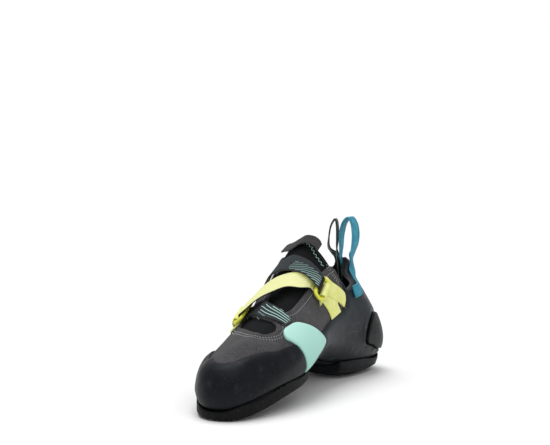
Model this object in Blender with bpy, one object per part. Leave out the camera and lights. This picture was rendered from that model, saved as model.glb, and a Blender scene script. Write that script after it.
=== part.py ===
import bpy
import math
import numpy as np

# slip-lasted climbing shoe with a crossed strap, right foot, metres
# toe towards -Y, heel contact at the origin, big-toe side towards +X

last_length = 0.2365
ball_width = 0.079
instep_height = 0.111

suede = 0.0018
knit = 0.0012
rubber = 0.0020
sole_depth = 0.0056
webbing = 0.0012
fit = 0.0003
ring_wire = 0.0014
loop_width = 0.010
loop_width_out = 0.006
rand_under = 0.0022
reach = 0.080
blend_half = 0.010

# how deep the cutters reach below and above the suede, and the gaps between neighbours
cut_in = -0.004
cut_out = 0.004
overlay_in = -0.002
overlay_out = 0.006
rand_gap = 0.0005
collar_gap = 0.0012
tab_gap = 0.0004
bed_gap_row = 0.03
bed_gap_turn = 0.004
band_grow = 1.02
patch_proud = 0.0010

# layer offsets from the outer face of the suede
upper_in = -suede
sock_out = -suede - fit
sock_in = sock_out - knit
rand_in = fit
rand_out = fit + rubber
sole_in = rand_out + fit
sole_out = sole_in + sole_depth
patch_out = rand_out + patch_proud

# sections of the last: bottom and top points along the length and up,
# inner and outer edges across, height share of the widest line,
# roundness below, above on the inner side, above on the outer side, ridge shift
# lengths are shares of last_length (y), instep_height (z) and ball_width (x)
last_names = ("yb", "zb", "yt", "zt", "inner", "outer", "wide", "low", "top_in", "top_out", "ridge")
last_rows = (
    (-0.835, 0.149, -0.835, 0.149, 0.177, 0.177, 0.50, 2.3, 2.1, 2.1, 0.00),
    (-0.828, 0.084, -0.825, 0.248, 0.285, 0.095, 0.48, 2.7, 2.1, 2.1, 0.00),
    (-0.810, 0.068, -0.801, 0.315, 0.373, 0.006, 0.46, 3.4, 2.1, 2.1, 0.00),
    (-0.774, 0.067, -0.761, 0.365, 0.430, -0.080, 0.43, 3.9, 2.1, 1.70, 0.10),
    (-0.723, 0.086, -0.706, 0.405, 0.481, -0.168, 0.40, 3.9, 2.1, 1.45, 0.20),
    (-0.660, 0.119, -0.643, 0.446, 0.513, -0.264, 0.37, 3.8, 2.0, 1.28, 0.30),
    (-0.588, 0.141, -0.571, 0.500, 0.525, -0.348, 0.34, 3.6, 1.9, 1.28, 0.35),
    (-0.512, 0.160, -0.495, 0.568, 0.519, -0.410, 0.32, 3.4, 1.8, 1.22, 0.35),
    (-0.431, 0.185, -0.423, 0.658, 0.487, -0.450, 0.32, 3.0, 1.7, 1.28, 0.35),
    (-0.347, 0.198, -0.355, 0.757, 0.437, -0.443, 0.34, 2.7, 1.6, 1.4, 0.30),
    (-0.262, 0.185, -0.300, 0.847, 0.392, -0.418, 0.36, 2.6, 1.6, 1.5, 0.20),
    (-0.182, 0.140, -0.258, 0.910, 0.367, -0.405, 0.36, 2.6, 1.6, 2.00, 0.15),
    (-0.106, 0.088, -0.228, 0.950, 0.361, -0.392, 0.36, 3.0, 1.7, 2.40, 0.10),
    (-0.034, 0.064, -0.216, 0.970, 0.361, -0.386, 0.36, 3.4, 1.7, 2.50, 0.10),
    (0.034, 0.064, -0.211, 0.984, 0.367, -0.380, 0.36, 3.4, 1.8, 2.40, 0.05),
    (0.121, 0.078, -0.209, 0.991, 0.390, -0.385, 0.34, 3.0, 1.7, 2.00, 0.00),
    (0.157, 0.144, -0.207, 0.995, 0.346, -0.366, 0.31, 2.6, 1.45, 1.7, 0.00),
    (0.154, 0.254, -0.207, 0.996, 0.286, -0.342, 0.29, 2.4, 1.35, 1.6, 0.00),
    (0.150, 0.374, -0.207, 0.997, 0.212, -0.300, 0.30, 2.2, 1.50, 1.6, 0.00),
    (0.114, 0.500, -0.207, 0.998, 0.172, -0.258, 0.36, 2.0, 1.7, 1.8, 0.00),
    (0.076, 0.618, -0.207, 0.999, 0.160, -0.205, 0.44, 1.9, 1.8, 1.9, 0.00),
    (0.047, 0.721, -0.207, 1.000, 0.165, -0.165, 0.52, 1.9, 2.0, 2.0, 0.00),
    (0.026, 0.811, -0.207, 1.000, 0.160, -0.135, 0.52, 1.9, 2.0, 2.0, 0.00),
)
row_end = len(last_rows) - 1
row_units = (last_length, instep_height, last_length, instep_height, ball_width, ball_width)

# mesh stations shared by every layer, along the rows and round each section
row_steps = (0.0, 0.5, 1.0, 1.6, 2.3, 3.2, 4.2, 5.2, 6.2, 7.2, 8.2, 9.2, 10.2, 11.2, 12.1, 13.0,
             13.8, 14.5, 15.1, 15.7, 16.3, 17.0, 17.8, 18.8, 20.0, 22.0)
half_turn = (0.0, 0.14, 0.26, 0.35, 0.43, 0.52, 0.61, 0.70, 0.78, 0.86, 0.93)
turn_steps = half_turn + (1.0,) + tuple(2.0 - q for q in reversed(half_turn[1:]))
ankle_row = 13.0
ankle_rows = (13.0, 14.5, 14.8, 17.4, 18.3, 19.4, 21.0)
ankle_turns = (0.78, 0.78, 0.70, 0.70, 0.66, 0.57, 0.48)

# side profiles, shares of last_length and instep_height, first inner then outer side
sole_line = ((-0.90, 0.050), (-0.835, 0.055), (-0.815, 0.075), (-0.793, 0.108), (-0.755, 0.132),
             (-0.715, 0.155), (-0.668, 0.172), (-0.613, 0.180), (-0.560, 0.182), (-0.505, 0.184),
             (-0.44, 0.205), (-0.36, 0.225), (-0.27, 0.210), (-0.19, 0.160), (-0.142, 0.143),
             (-0.071, 0.135), (0.0, 0.115), (0.072, 0.100), (0.11, 0.115), (0.155, 0.134),
             (0.25, 0.138))
toe_line_in = ((-0.90, 0.300), (-0.830, 0.315), (-0.803, 0.330), (-0.783, 0.340), (-0.736, 0.367),
               (-0.681, 0.380), (-0.640, 0.375), (-0.585, 0.385), (-0.52, 0.36), (-0.455, 0.16))
toe_line_out = ((-0.90, 0.290), (-0.830, 0.300), (-0.803, 0.310), (-0.783, 0.310), (-0.736, 0.310),
                (-0.681, 0.300), (-0.640, 0.295), (-0.585, 0.290), (-0.52, 0.28), (-0.45, 0.16))
heel_line_in = ((-0.48, 0.16), (-0.44, 0.395), (-0.405, 0.408), (-0.368, 0.414), (-0.342, 0.428),
                (-0.295, 0.455), (-0.214, 0.486), (-0.179, 0.508), (-0.158, 0.551), (-0.152, 0.590),
                (-0.154, 0.642), (-0.150, 0.760), (-0.06, 0.94))
heel_line_out = ((-0.44, 0.16), (-0.435, 0.270), (-0.418, 0.285), (-0.400, 0.300), (-0.370, 0.330),
                 (-0.340, 0.360), (-0.290, 0.420), (-0.217, 0.475), (-0.190, 0.505), (-0.168, 0.530),
                 (-0.158, 0.630), (-0.150, 0.760), (-0.06, 0.94))
heel_ends = ((0.30, 1.2), (0.30, -0.2), (-0.40, -0.2))
collar_line = ((-0.32, 1.25), (-0.205, 0.92), (-0.177, 0.804), (-0.162, 0.729), (-0.150, 0.680),
               (-0.139, 0.640), (-0.122, 0.640), (-0.100, 0.665), (-0.070, 0.720), (-0.045, 0.775),
               (-0.030, 0.808), (-0.010, 0.820), (0.25, 0.822), (0.25, 1.25))
patch_line = ((0.30, 0.400), (0.10, 0.415), (0.040, 0.425), (0.007, 0.440), (-0.007, 0.425),
              (-0.020, 0.376), (-0.028, 0.323), (-0.032, 0.272), (-0.026, 0.236), (0.014, 0.209),
              (0.054, 0.174), (0.103, 0.158), (0.30, 0.154))

# dip of the collar beside the heel tab, across in shares of ball_width and up in shares of
# instep_height, and how far forward it reaches as a share of last_length
dip_line = ((0.013, 0.824), (-0.032, 0.806), (-0.057, 0.779), (-0.076, 0.752), (-0.114, 0.734),
            (-0.165, 0.730), (-0.240, 0.757), (-0.300, 0.790), (-0.300, 1.250), (0.013, 1.250))
dip_front = -0.051
dip_back = 0.080

# cut edge of the soles: rows used, height the outline is taken at as a share of instep_height,
# how far it stands out from the suede, and its draw-in in millimetres at each height
front_rows = (0.0, 0.3, 0.6, 1.0, 1.4, 2.0, 2.7, 3.5, 4.3, 5.1, 5.9, 6.7, 7.4, 7.75)
front_height = 0.205
front_proud = 0.0018
front_levels = ((0.0, 1.2), (1.2, 0.3), (3.0, 0.0), (40.0, 0.0))
heel_rows = (11.6, 12.0, 12.5, 13.0, 13.5, 14.0, 14.4, 14.8, 15.2, 15.6, 15.9)
heel_height = 0.150
heel_proud = 0.0033
heel_levels = ((0.0, 7.5), (2.0, 5.0), (5.0, 2.6), (9.0, 1.0), (14.0, 0.2), (40.0, 0.0))
least_share = 0.1

# openings and overlays in rows and turns of the last
window_loop = ((5.33, 0.94), (5.79, 0.896), (6.13, 0.924), (6.30, 0.995), (6.49, 1.052),
               (6.80, 1.12), (7.12, 1.184), (7.55, 1.27), (7.98, 1.36), (7.90, 1.405),
               (7.30, 1.37), (6.60, 1.26), (6.00, 1.16), (5.60, 1.078), (5.38, 1.01))
window_mid = (6.45, 1.13)
throat_rows = ((6.80, 0.985, 1.075), (6.95, 0.958, 1.115), (7.23, 0.915, 1.150),
               (7.96, 0.885, 1.180), (8.92, 0.850, 1.200), (9.86, 0.812, 1.210),
               (11.05, 0.800, 1.210), (12.90, 0.800, 1.205), (13.6, 0.770, 1.240),
               (15.5, 0.740, 1.270))
under_rows = ((1.70, 0.10), (2.20, 0.22), (3.0, 0.27), (4.2, 0.285), (6.0, 0.285), (8.0, 0.26),
              (10.0, 0.25), (12.0, 0.26), (13.6, 0.26), (14.5, 0.22), (15.1, 0.10))
band_loop = ((6.12, 0.840), (6.40, 0.838), (6.88, 0.815), (7.34, 0.750), (7.80, 0.675),
             (8.20, 0.600), (8.62, 0.520), (8.85, 0.470), (8.84, 0.440), (8.50, 0.425),
             (7.95, 0.420), (7.45, 0.385), (7.20, 0.375), (7.10, 0.400), (7.00, 0.447),
             (6.80, 0.530), (6.62, 0.593), (6.40, 0.655), (6.19, 0.704), (5.92, 0.765),
             (5.95, 0.810))
band_mid = (7.30, 0.60)
tab_loop_in = ((9.46, 0.715), (9.62, 0.735), (10.00, 0.752), (10.60, 0.762), (11.10, 0.765),
               (11.50, 0.715), (12.15, 0.672), (12.62, 0.640), (12.85, 0.602), (12.75, 0.570),
               (12.40, 0.542), (12.10, 0.528), (11.75, 0.552), (11.35, 0.585), (11.18, 0.575),
               (11.28, 0.535), (11.38, 0.508), (10.75, 0.498), (10.10, 0.490), (9.98, 0.530),
               (9.88, 0.575), (9.70, 0.632), (9.50, 0.690))
tab_mid_in = (10.75, 0.640)
tab_loop_out = ((7.75, 1.405), (8.10, 1.395), (8.45, 1.395), (8.72, 1.410), (8.95, 1.450),
                (9.00, 1.500), (8.80, 1.550), (8.40, 1.565), (8.00, 1.540), (7.75, 1.490),
                (7.66, 1.440))
tab_mid_out = (8.30, 1.475)

# strap stations: row, turn and lift in millimetres of the toe edge and of the heel edge
strap_low = ((6.36, 0.868, 1.0, 6.84, 0.853, 1.0), (6.28, 0.925, 1.4, 6.86, 0.905, 1.3),
             (6.30, 0.985, 1.3, 6.98, 0.960, 1.2), (6.48, 1.050, 1.1, 7.20, 1.030, 1.8),
             (6.75, 1.110, 1.2, 7.50, 1.090, 2.0), (7.08, 1.170, 1.2, 7.85, 1.150, 2.0),
             (7.38, 1.235, 1.1, 8.15, 1.215, 1.6), (7.60, 1.295, 1.0, 8.36, 1.275, 1.1))
strap_mid = ((7.74, 1.290, 6.2, 8.50, 1.265, 6.2), (7.84, 1.230, 6.6, 8.66, 1.200, 6.6),
             (7.92, 1.160, 6.4, 8.78, 1.125, 6.4), (7.98, 1.080, 5.6, 8.86, 1.050, 5.6),
             (8.10, 1.000, 4.6, 9.00, 0.980, 4.6), (8.40, 0.920, 3.6, 9.30, 0.905, 3.6),
             (8.80, 0.868, 2.6, 9.72, 0.860, 2.6), (9.04, 0.838, 1.4, 10.02, 0.834, 1.4))
strap_tail = ((9.12, 0.848, 6.2, 10.12, 0.844, 6.2), (9.06, 0.895, 6.2, 10.14, 0.890, 5.2),
              (8.98, 0.950, 6.6, 10.16, 0.940, 4.2), (8.98, 1.020, 7.6, 10.20, 1.010, 3.8),
              (9.06, 1.090, 7.8, 10.24, 1.080, 3.4), (9.22, 1.160, 6.6, 10.28, 1.150, 2.6),
              (9.36, 1.230, 4.2, 10.30, 1.220, 1.6), (9.44, 1.300, 1.8, 10.30, 1.290, 1.1),
              (9.48, 1.370, 1.0, 10.30, 1.360, 1.0), (9.50, 1.440, 1.0, 10.30, 1.430, 1.0))
bar_out = (7.66, 1.350, 3.5, 8.42, 1.330, 3.5)
ring_depth = 0.0078
ring_corner = 0.003
ring_over = 0.003
hook_lifts = ((0.115, 0.9), (0.110, 4.2), (0.145, 2.3))
hook_share = 0.94

# free shapes in shares of ball_width, last_length and instep_height
loop_in_root = ((20.3, 0.250, -3.6), (21.0, 0.250, -3.6), (21.7, 0.250, -3.9))
loop_in_line = ((0.052, -0.004, 0.899), (0.057, -0.004, 0.984), (0.087, -0.004, 1.063),
                (0.150, -0.006, 1.105), (0.204, -0.011, 1.067), (0.232, -0.017, 0.998),
                (0.236, -0.023, 0.929), (0.224, -0.030, 0.873), (0.212, -0.036, 0.830))
loop_in_tail = ((19.80, 0.410, 4.4), (18.10, 0.535, 3.7), (16.30, 0.600, 3.6), (14.85, 0.612, 3.6),
                (13.80, 0.612, 3.6), (13.10, 0.630, 3.6))
loop_in_across = ((-0.50, 0.85, 0.0), (-0.50, 0.85, 0.0), (-0.45, 0.88, 0.0),
                  (-0.20, 0.98, 0.0), (-0.09, 0.99, 0.0), (-0.05, 0.99, 0.0),
                  (0.00, 1.00, 0.0), (0.08, 0.99, 0.0), (0.13, 0.99, 0.0),
                  (0.05, 0.99, -0.05), (-0.15, 0.96, -0.20), (-0.15, 0.80, -0.50),
                  (0.00, 0.60, -0.75), (0.04, 0.48, -0.86), (0.04, 0.45, -0.88),
                  (0.04, 0.40, -0.90), (0.04, 0.30, -0.94), (0.04, 0.10, -0.98))
loop_out_root = ((20.5, 1.970, -6.0), (21.2, 1.970, -6.0), (21.9, 1.975, -5.6))
loop_out_line = ((0.012, -0.010, 0.877), (0.016, -0.008, 0.956), (0.010, -0.006, 1.041),
                 (-0.018, -0.002, 1.089), (-0.078, 0.003, 1.038), (-0.106, 0.006, 0.952),
                 (-0.104, 0.008, 0.880))
loop_out_tail = ((21.9, 1.945, 3.6), (21.2, 1.945, 3.4), (20.5, 1.945, 3.4))
loop_out_across = ((-0.99, 0.10, 0.0), (-0.99, 0.10, 0.0), (-0.95, 0.30, 0.0), (-0.50, 0.87, 0.0),
                   (-0.20, 0.98, 0.0), (-0.20, 0.98, 0.0), (-0.25, 0.97, 0.0), (-0.40, 0.91, 0.0),
                   (-0.50, 0.87, 0.0), (-0.75, 0.66, 0.0), (-0.97, 0.20, 0.0), (-0.97, 0.20, 0.0),
                   (-0.97, 0.20, 0.0))
tongue_rows = ((12.90, 1.160, 2.0), (12.50, 1.135, 0.6), (12.00, 1.105, 0.1), (11.90, 1.075, 0.2),
               (12.20, 1.035, 1.2), (12.50, 1.000, 2.8), (12.70, 0.968, 3.8), (12.80, 0.940, 3.4),
               (12.75, 0.918, 1.8))
tongue_across = (0.0, 0.82, 0.57)
tongue_width = 0.009
bar_in = (9.12, 0.796, 3.5, 10.14, 0.796, 3.5)


def section(s):
    table = np.array(last_rows)
    for column, unit in enumerate(row_units):
        table[:, column] *= unit
    before = table[1].copy()
    before[[0, 1, 2, 3]] = table[1][[2, 3, 0, 1]]
    before[[4, 5]] = table[1][[5, 4]]
    after = 2 * table[-1] - table[-2]
    table = np.vstack([before, table, after])
    s = np.clip(s, 0.0, row_end)
    i = np.minimum(s.astype(int), row_end - 1)
    f = (s - i)[:, None]
    a = (1 - f) ** 3
    b = 3 * f ** 3 - 6 * f ** 2 + 4
    c = -3 * f ** 3 + 3 * f ** 2 + 3 * f + 1
    d = f ** 3
    return (a * table[i] + b * table[i + 1] + c * table[i + 2] + d * table[i + 3]) / 6


def bare(s, q):
    values = section(s)
    col = {name: values[:, k:k + 1] for k, name in enumerate(last_names)}
    q = np.mod(q, 2.0)
    on_inner = (q <= 1.0)[:, None]
    share = np.where(q <= 1.0, q, 2.0 - q)
    side = np.where(on_inner, 1.0, -1.0)
    top = np.where(on_inner, col["top_in"], col["top_out"])
    turn = np.linspace(0.0, math.pi / 2, 24)[None, :]
    sine = np.sin(turn)
    cosine = np.maximum(np.cos(turn), 0.0)
    ridge = col["ridge"] * side
    x_low = sine ** (2 / col["low"])
    e_low = col["wide"] * (1 - cosine ** (2 / col["low"]))
    x_top = ridge + (1 - ridge) * cosine ** (2 / top)
    e_top = col["wide"] + (1 - col["wide"]) * sine ** (2 / top)
    across = np.concatenate([x_low, x_top[:, 1:]], axis=1)
    e = np.concatenate([e_low, e_top[:, 1:]], axis=1)
    mid = (col["inner"] + col["outer"]) / 2
    half = (col["inner"] - col["outer"]) / 2
    x = mid + side * half * across
    y = col["yb"] + (col["yt"] - col["yb"]) * e
    z = col["zb"] + (col["zt"] - col["zb"]) * e
    line = np.stack([x, y, z], axis=-1)
    step = np.linalg.norm(np.diff(line, axis=1), axis=2)
    run = np.concatenate([np.zeros((len(s), 1)), np.cumsum(step, axis=1)], axis=1)
    want = share * run[:, -1]
    j = np.clip((run <= want[:, None]).sum(axis=1) - 1, 0, run.shape[1] - 2)
    k = np.arange(len(s))
    part = (want - run[k, j]) / np.maximum(run[k, j + 1] - run[k, j], 1e-9)
    part = np.clip(part, 0.0, 1.0)[:, None]
    return line[k, j] * (1 - part) + line[k, j + 1] * part


def skin(s, q, lift=0.0):
    s, q, lift = [np.array(v, dtype=float).ravel() for v in np.broadcast_arrays(s, q, lift)]
    near = np.maximum(s, 0.15)
    along = bare(np.minimum(near + 0.03, row_end), q) - bare(near - 0.03, q)
    round_it = bare(near, q + 0.02) - bare(near, q - 0.02)
    normal = np.cross(along, round_it)
    normal /= np.linalg.norm(normal, axis=1, keepdims=True)
    tip = (s < 0.01)[:, None]
    normal = np.where(tip, np.array([[0.0, -1.0, 0.0]]), normal)
    return bare(s, q) + lift[:, None] * normal


def make_object(name, verts, faces, group, material=None):
    mesh = bpy.data.meshes.new(name)
    halves = []
    for face in faces:
        if len(face) == 4:
            halves += [[face[0], face[1], face[2]], [face[0], face[2], face[3]]]
        else:
            halves.append(face)
    mesh.from_pydata([tuple(v) for v in verts], [], halves)
    mesh.validate()
    mesh.update()
    item = bpy.data.objects.new(name, mesh)
    group.objects.link(item)
    if group == cutters:
        item.hide_render = True
        item.display_type = "WIRE"
    if material:
        mesh.materials.append(material)
    return item


def grid_solid(name, group, outer, inner, kept=None, closed=False, tip=False, material=None):
    # outer and inner are point grids of the same size; kept marks the cells that are used
    rows, cols = outer.shape[:2]
    last = cols if closed else cols - 1
    if kept is None:
        kept = np.ones((rows - 1, last), dtype=bool)
    verts = []
    index = {}

    def spot(face, r, c):
        key = (face, r, 0 if tip and r == 0 else c % cols)
        if key not in index:
            index[key] = len(verts)
            verts.append((outer, inner)[face][key[1], key[2]])
        return index[key]

    def used(r, c):
        if closed:
            c %= last
        return 0 <= r < rows - 1 and 0 <= c < last and kept[r, c]

    faces = []

    def add(*corners):
        if len(set(corners)) == 3:
            faces.append(corners)

    def wall(p, n):
        # two triangles joining an outer edge to the inner one
        a, b = spot(0, *p), spot(0, *n)
        c, d = spot(1, *n), spot(1, *p)
        if a != b:
            add(b, a, d)
            add(b, d, c)

    for r in range(rows - 1):
        for c in range(last):
            if not used(r, c):
                continue
            ring = ((r, c), (r, c + 1), (r + 1, c + 1), (r + 1, c))
            for face, order in ((0, (0, 1, 2, 3)), (1, (0, 3, 2, 1))):
                p = [spot(face, *ring[k]) for k in order]
                add(p[0], p[1], p[2])
                add(p[0], p[2], p[3])
            around = ((r - 1, c), (r, c + 1), (r + 1, c), (r, c - 1))
            for k in range(4):
                if not used(*around[k]) and not (tip and r == 0 and k == 0):
                    wall(ring[k], ring[(k + 1) % 4])
    return outward(make_object(name, verts, faces, group, material))


def outward(item):
    # flips an inside-out solid
    mesh = item.data
    volume = 0.0
    for face in mesh.polygons:
        corners = [mesh.vertices[v].co for v in face.vertices]
        for k in range(1, len(corners) - 1):
            volume += corners[0].dot(corners[k].cross(corners[k + 1]))
    if volume < 0:
        mesh.flip_normals()
    return item


def layer(name, low, high, material, rows=(0.0, 22.0), turns=1.0):
    # shell of the last between two lifts; turns is how far up each side it goes
    steps = [s for s in row_steps if rows[0] <= s <= rows[1]]
    s, q = np.meshgrid(steps, turn_steps, indexing="ij")
    outer = skin(s, q, high).reshape(s.shape + (3,))
    inner = skin(s, q, low).reshape(s.shape + (3,))
    mid_s = (s[1:] + s[:-1]) / 2
    ends = np.concatenate([q[:-1, 1:], np.full((len(steps) - 1, 1), 2.0)], axis=1)
    mid_q = (q[:-1] + ends) / 2
    side = np.minimum(mid_q, 2.0 - mid_q)
    kept = (side < turns) & ((mid_s < ankle_row) | (side < np.interp(mid_s, ankle_rows, ankle_turns)))
    return grid_solid(name, shoe, outer, inner, kept, closed=True, tip=steps[0] == 0.0,
                      material=material)


def side_block(name, near, far=None):
    # outline in shares of length and height, extruded across the shoe, inner line to outer line
    count = len(near)
    planes = ((reach, near), (blend_half, near), (-blend_half, far or near), (-reach, far or near))
    verts = [(x, y * last_length, z * instep_height) for x, line in planes for y, z in line]
    faces = [list(range(count)), list(range(4 * count - 1, 3 * count - 1, -1))]
    for start in (0, count, 2 * count):
        for k in range(count):
            n = (k + 1) % count
            faces.append([start + k, start + k + count, start + n + count, start + n])
    return outward(make_object(name, verts, faces, cutters))


def back_block(name, line):
    # outline seen from behind, extruded along the shoe
    count = len(line)
    verts = [(x * ball_width, way * last_length, z * instep_height)
             for way in (dip_front, dip_back) for x, z in line]
    faces = [list(range(count)), list(range(2 * count - 1, count - 1, -1))]
    for k in range(count):
        n = (k + 1) % count
        faces.append([k, k + count, n + count, n])
    return outward(make_object(name, verts, faces, cutters))


def plan_block(name, edges, levels):
    # block over a plan outline of inner and outer points row by row, drawn in at each level
    inner_edge = np.array([pair[0] for pair in edges])
    outer_edge = np.array([pair[1] for pair in edges])
    middle = (inner_edge + outer_edge) / 2
    half = np.linalg.norm(inner_edge - outer_edge, axis=1, keepdims=True) / 2
    centre = middle[:, 1].mean()
    span = np.ptp(middle[:, 1]) / 2
    count = len(edges)
    ring = 2 * count
    verts = []
    for height, inset in levels:
        draw = inset / 1000
        share = np.clip(1 - draw / half, least_share, 1.0)
        back = np.stack([np.zeros(count), (middle[:, 1] - centre) * draw / span], axis=1)
        for edge in (inner_edge, outer_edge[::-1]):
            flip = 1 if edge is inner_edge else -1
            flat = middle[::flip] + (edge - middle[::flip]) * share[::flip] - back[::flip]
            verts.extend((x, y, height / 1000) for x, y in flat)
    faces = []
    for level in range(len(levels) - 1):
        for k in range(ring):
            a = level * ring + k
            b = level * ring + (k + 1) % ring
            faces.append([a, b, b + ring, a + ring])
    top = (len(levels) - 1) * ring
    for k in range(count - 1):
        cap = [k, k + 1, ring - 2 - k, ring - 1 - k]
        faces.append(cap[::-1])
        faces.append([top + corner for corner in cap])
    return outward(make_object(name, verts, faces, cutters))


def loop_block(name, loop, mid, low, high, grow=1.0, rings=3):
    # solid over a closed loop drawn on the last, spokes running in to the middle
    loop = np.array(loop)
    mid = np.array(mid)
    shares = np.linspace(grow, 0.0, rings + 1)
    flat = [mid + (loop - mid) * share for share in shares[:-1]] + [np.array([mid])]
    verts = []
    for lift in (high, low):
        for ring in flat:
            verts.extend(skin(ring[:, 0], ring[:, 1], lift))
    count = len(loop)
    size = count * rings + 1
    faces = []
    for level in (0, 1):
        start = level * size
        for r in range(rings - 1):
            for k in range(count):
                n = (k + 1) % count
                a = start + r * count
                faces.append([a + k, a + n, a + count + n, a + count + k])
        a = start + (rings - 1) * count
        for k in range(count):
            faces.append([a + k, a + (k + 1) % count, start + size - 1])
        if level == 1:
            half = len(faces) // 2
            faces[half:] = [face[::-1] for face in faces[half:]]
    for k in range(count):
        n = (k + 1) % count
        faces.append([n, k, size + k, size + n])
    return outward(make_object(name, verts, faces, cutters))


def strip_block(name, stations, low, high, across=8):
    # solid over a band of the last between two turns at each row
    rows = np.array([[row[0]] * (across + 1) for row in stations])
    turns = np.array([np.linspace(row[1], row[2], across + 1) for row in stations])
    outer = skin(rows, turns, high).reshape(rows.shape + (3,))
    inner = skin(rows, turns, low).reshape(rows.shape + (3,))
    return grid_solid(name, cutters, outer, inner)


def cut(item, tool, keep=False):
    modifier = item.modifiers.new(tool.name, "BOOLEAN")
    modifier.operation = "INTERSECT" if keep else "DIFFERENCE"
    modifier.solver = "EXACT"
    modifier.object = tool
    return item


def join(item, tool):
    modifier = item.modifiers.new(tool.name, "BOOLEAN")
    modifier.operation = "UNION"
    modifier.solver = "EXACT"
    modifier.object = tool
    return item


def smooth(item):
    for face in item.data.polygons:
        face.use_smooth = True
    return item


def closed_below(line, floor=-0.4):
    return tuple(line) + ((line[-1][0], floor), (line[0][0], floor))


def shifted(line, up=0.0, forward=0.0):
    return tuple((y + forward / last_length, z + up / instep_height) for y, z in line)


def grown(line, gap):
    # closed side outline set outwards by a gap, back in shares
    spots = np.array(line) * (last_length, instep_height)
    way = np.roll(spots, -1, axis=0) - spots
    way /= np.linalg.norm(way, axis=1, keepdims=True)
    before = np.roll(way, 1, axis=0)
    turn = np.sum(before[:, 0] * way[:, 1] - before[:, 1] * way[:, 0])
    side = np.stack([way[:, 1] + before[:, 1], -way[:, 0] - before[:, 0]], axis=1)
    side /= np.linalg.norm(side, axis=1, keepdims=True)
    spots = spots + side * gap * (1 if turn > 0 else -1)
    return tuple((y / last_length, z / instep_height) for y, z in spots)


def crossing(height, s, inner_side, lift):
    # point where one row of the last crosses a height on one side
    q = np.linspace(0.0, 1.0, 81) if inner_side else np.linspace(2.0, 1.0, 81)
    points = skin(np.full(q.shape, s), q, lift)
    for a, b in zip(points[:-1], points[1:]):
        if a[2] <= height < b[2]:
            spot = a + (b - a) * (height - a[2]) / (b[2] - a[2])
            return spot[0], spot[1]
    return None


def level_outline(height, rows, lift):
    # inner and outer crossing of each row that reaches one height
    pairs = [(crossing(height, s, True, lift), crossing(height, s, False, lift)) for s in rows]
    return [pair for pair in pairs if None not in pair]


def ribbon(name, group, material, centre, across, width, depth):
    # flat strip swept along centre points, across is the width direction at each
    centre = np.array(centre)
    across = np.array(across)
    across /= np.linalg.norm(across, axis=1, keepdims=True)
    travel = np.gradient(centre, axis=0)
    normal = np.cross(travel, across)
    normal /= np.linalg.norm(normal, axis=1, keepdims=True)
    half = np.broadcast_to(np.asarray(width, dtype=float) / 2, (len(centre),))[:, None]
    outer = np.stack([centre + across * half + normal * depth / 2,
                      centre - across * half + normal * depth / 2], axis=1)
    inner = np.stack([centre + across * half - normal * depth / 2,
                      centre - across * half - normal * depth / 2], axis=1)
    return smooth(grid_solid(name, group, outer, inner, material=material))


def smooth_line(points, steps):
    # cubic through the given rows
    points = np.array(points, dtype=float)
    ends = np.vstack([2 * points[0] - points[1], points, 2 * points[-1] - points[-2]])
    out = []
    for k in range(len(points) - 1):
        a, b, c, d = ends[k:k + 4]
        for t in np.linspace(0.0, 1.0, steps, endpoint=False):
            out.append(b + (c - a) * t / 2 + (a - 2.5 * b + 2 * c - d / 2) * t * t
                       + (1.5 * (b - c) + (d - a) / 2) * t ** 3)
    out.append(points[-1])
    return np.array(out)


def edge_pairs(stations):
    rows = np.array(stations, dtype=float)
    toe_edge = skin(rows[:, 0], rows[:, 1], rows[:, 2] / 1000)
    heel_edge = skin(rows[:, 3], rows[:, 4], rows[:, 5] / 1000)
    return toe_edge, heel_edge


def ring_frame(bar, away):
    # ends of the bar, the way to the far side of the ring, and up off the shoe
    toe_end, heel_end = edge_pairs((bar,))
    toe_end = toe_end[0]
    heel_end = heel_end[0]
    axis = (heel_end - toe_end) / np.linalg.norm(heel_end - toe_end)
    middle = (toe_end + heel_end) / 2
    turns = np.linspace(0.0, 0.12, 49) * (-1 if away[0] > 0 else 1)
    s = (bar[0] + bar[3]) / 2
    q = (bar[1] + bar[4]) / 2
    spots = skin(np.full(turns.shape, s), q + turns, bar[2] / 1000)
    span = np.linalg.norm(spots - middle, axis=1)
    out = spots[int(np.argmin(abs(span - ring_depth)))] - middle
    out -= axis * np.dot(out, axis)
    out /= np.linalg.norm(out)
    up = np.cross(axis, out)
    if np.dot(up, skin(s, q, 0.001)[0] - skin(s, q, 0.0)[0]) < 0:
        up = -up
    return toe_end, heel_end, out, up


def turn_round(toe_end, heel_end, out, up, radius, steps=5):
    # a strip folding round a bar from below to above, one point for each edge
    moves = [radius * (out * math.sin(angle) - up * math.cos(angle))
             for angle in np.linspace(0.0, math.pi, steps)]
    return [toe_end + move for move in moves], [heel_end + move for move in moves]


def tube(name, group, material, path, radius, sides=6):
    # round wire along a closed path
    path = np.array(path)
    count = len(path)
    travel = np.roll(path, -1, axis=0) - np.roll(path, 1, axis=0)
    travel /= np.linalg.norm(travel, axis=1, keepdims=True)
    flat = np.cross(path - path.mean(axis=0), travel).mean(axis=0)
    flat /= np.linalg.norm(flat)
    side = np.cross(travel, flat)
    side /= np.linalg.norm(side, axis=1, keepdims=True)
    verts = []
    for k in range(count):
        for j in range(sides):
            angle = 2 * math.pi * j / sides
            verts.append(path[k] + radius * (side[k] * math.cos(angle) + flat * math.sin(angle)))
    faces = []
    for k in range(count):
        n = (k + 1) % count
        for j in range(sides):
            m = (j + 1) % sides
            faces.append([k * sides + j, k * sides + m, n * sides + m, n * sides + j])
    return smooth(outward(make_object(name, verts, faces, group, material)))


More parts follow.
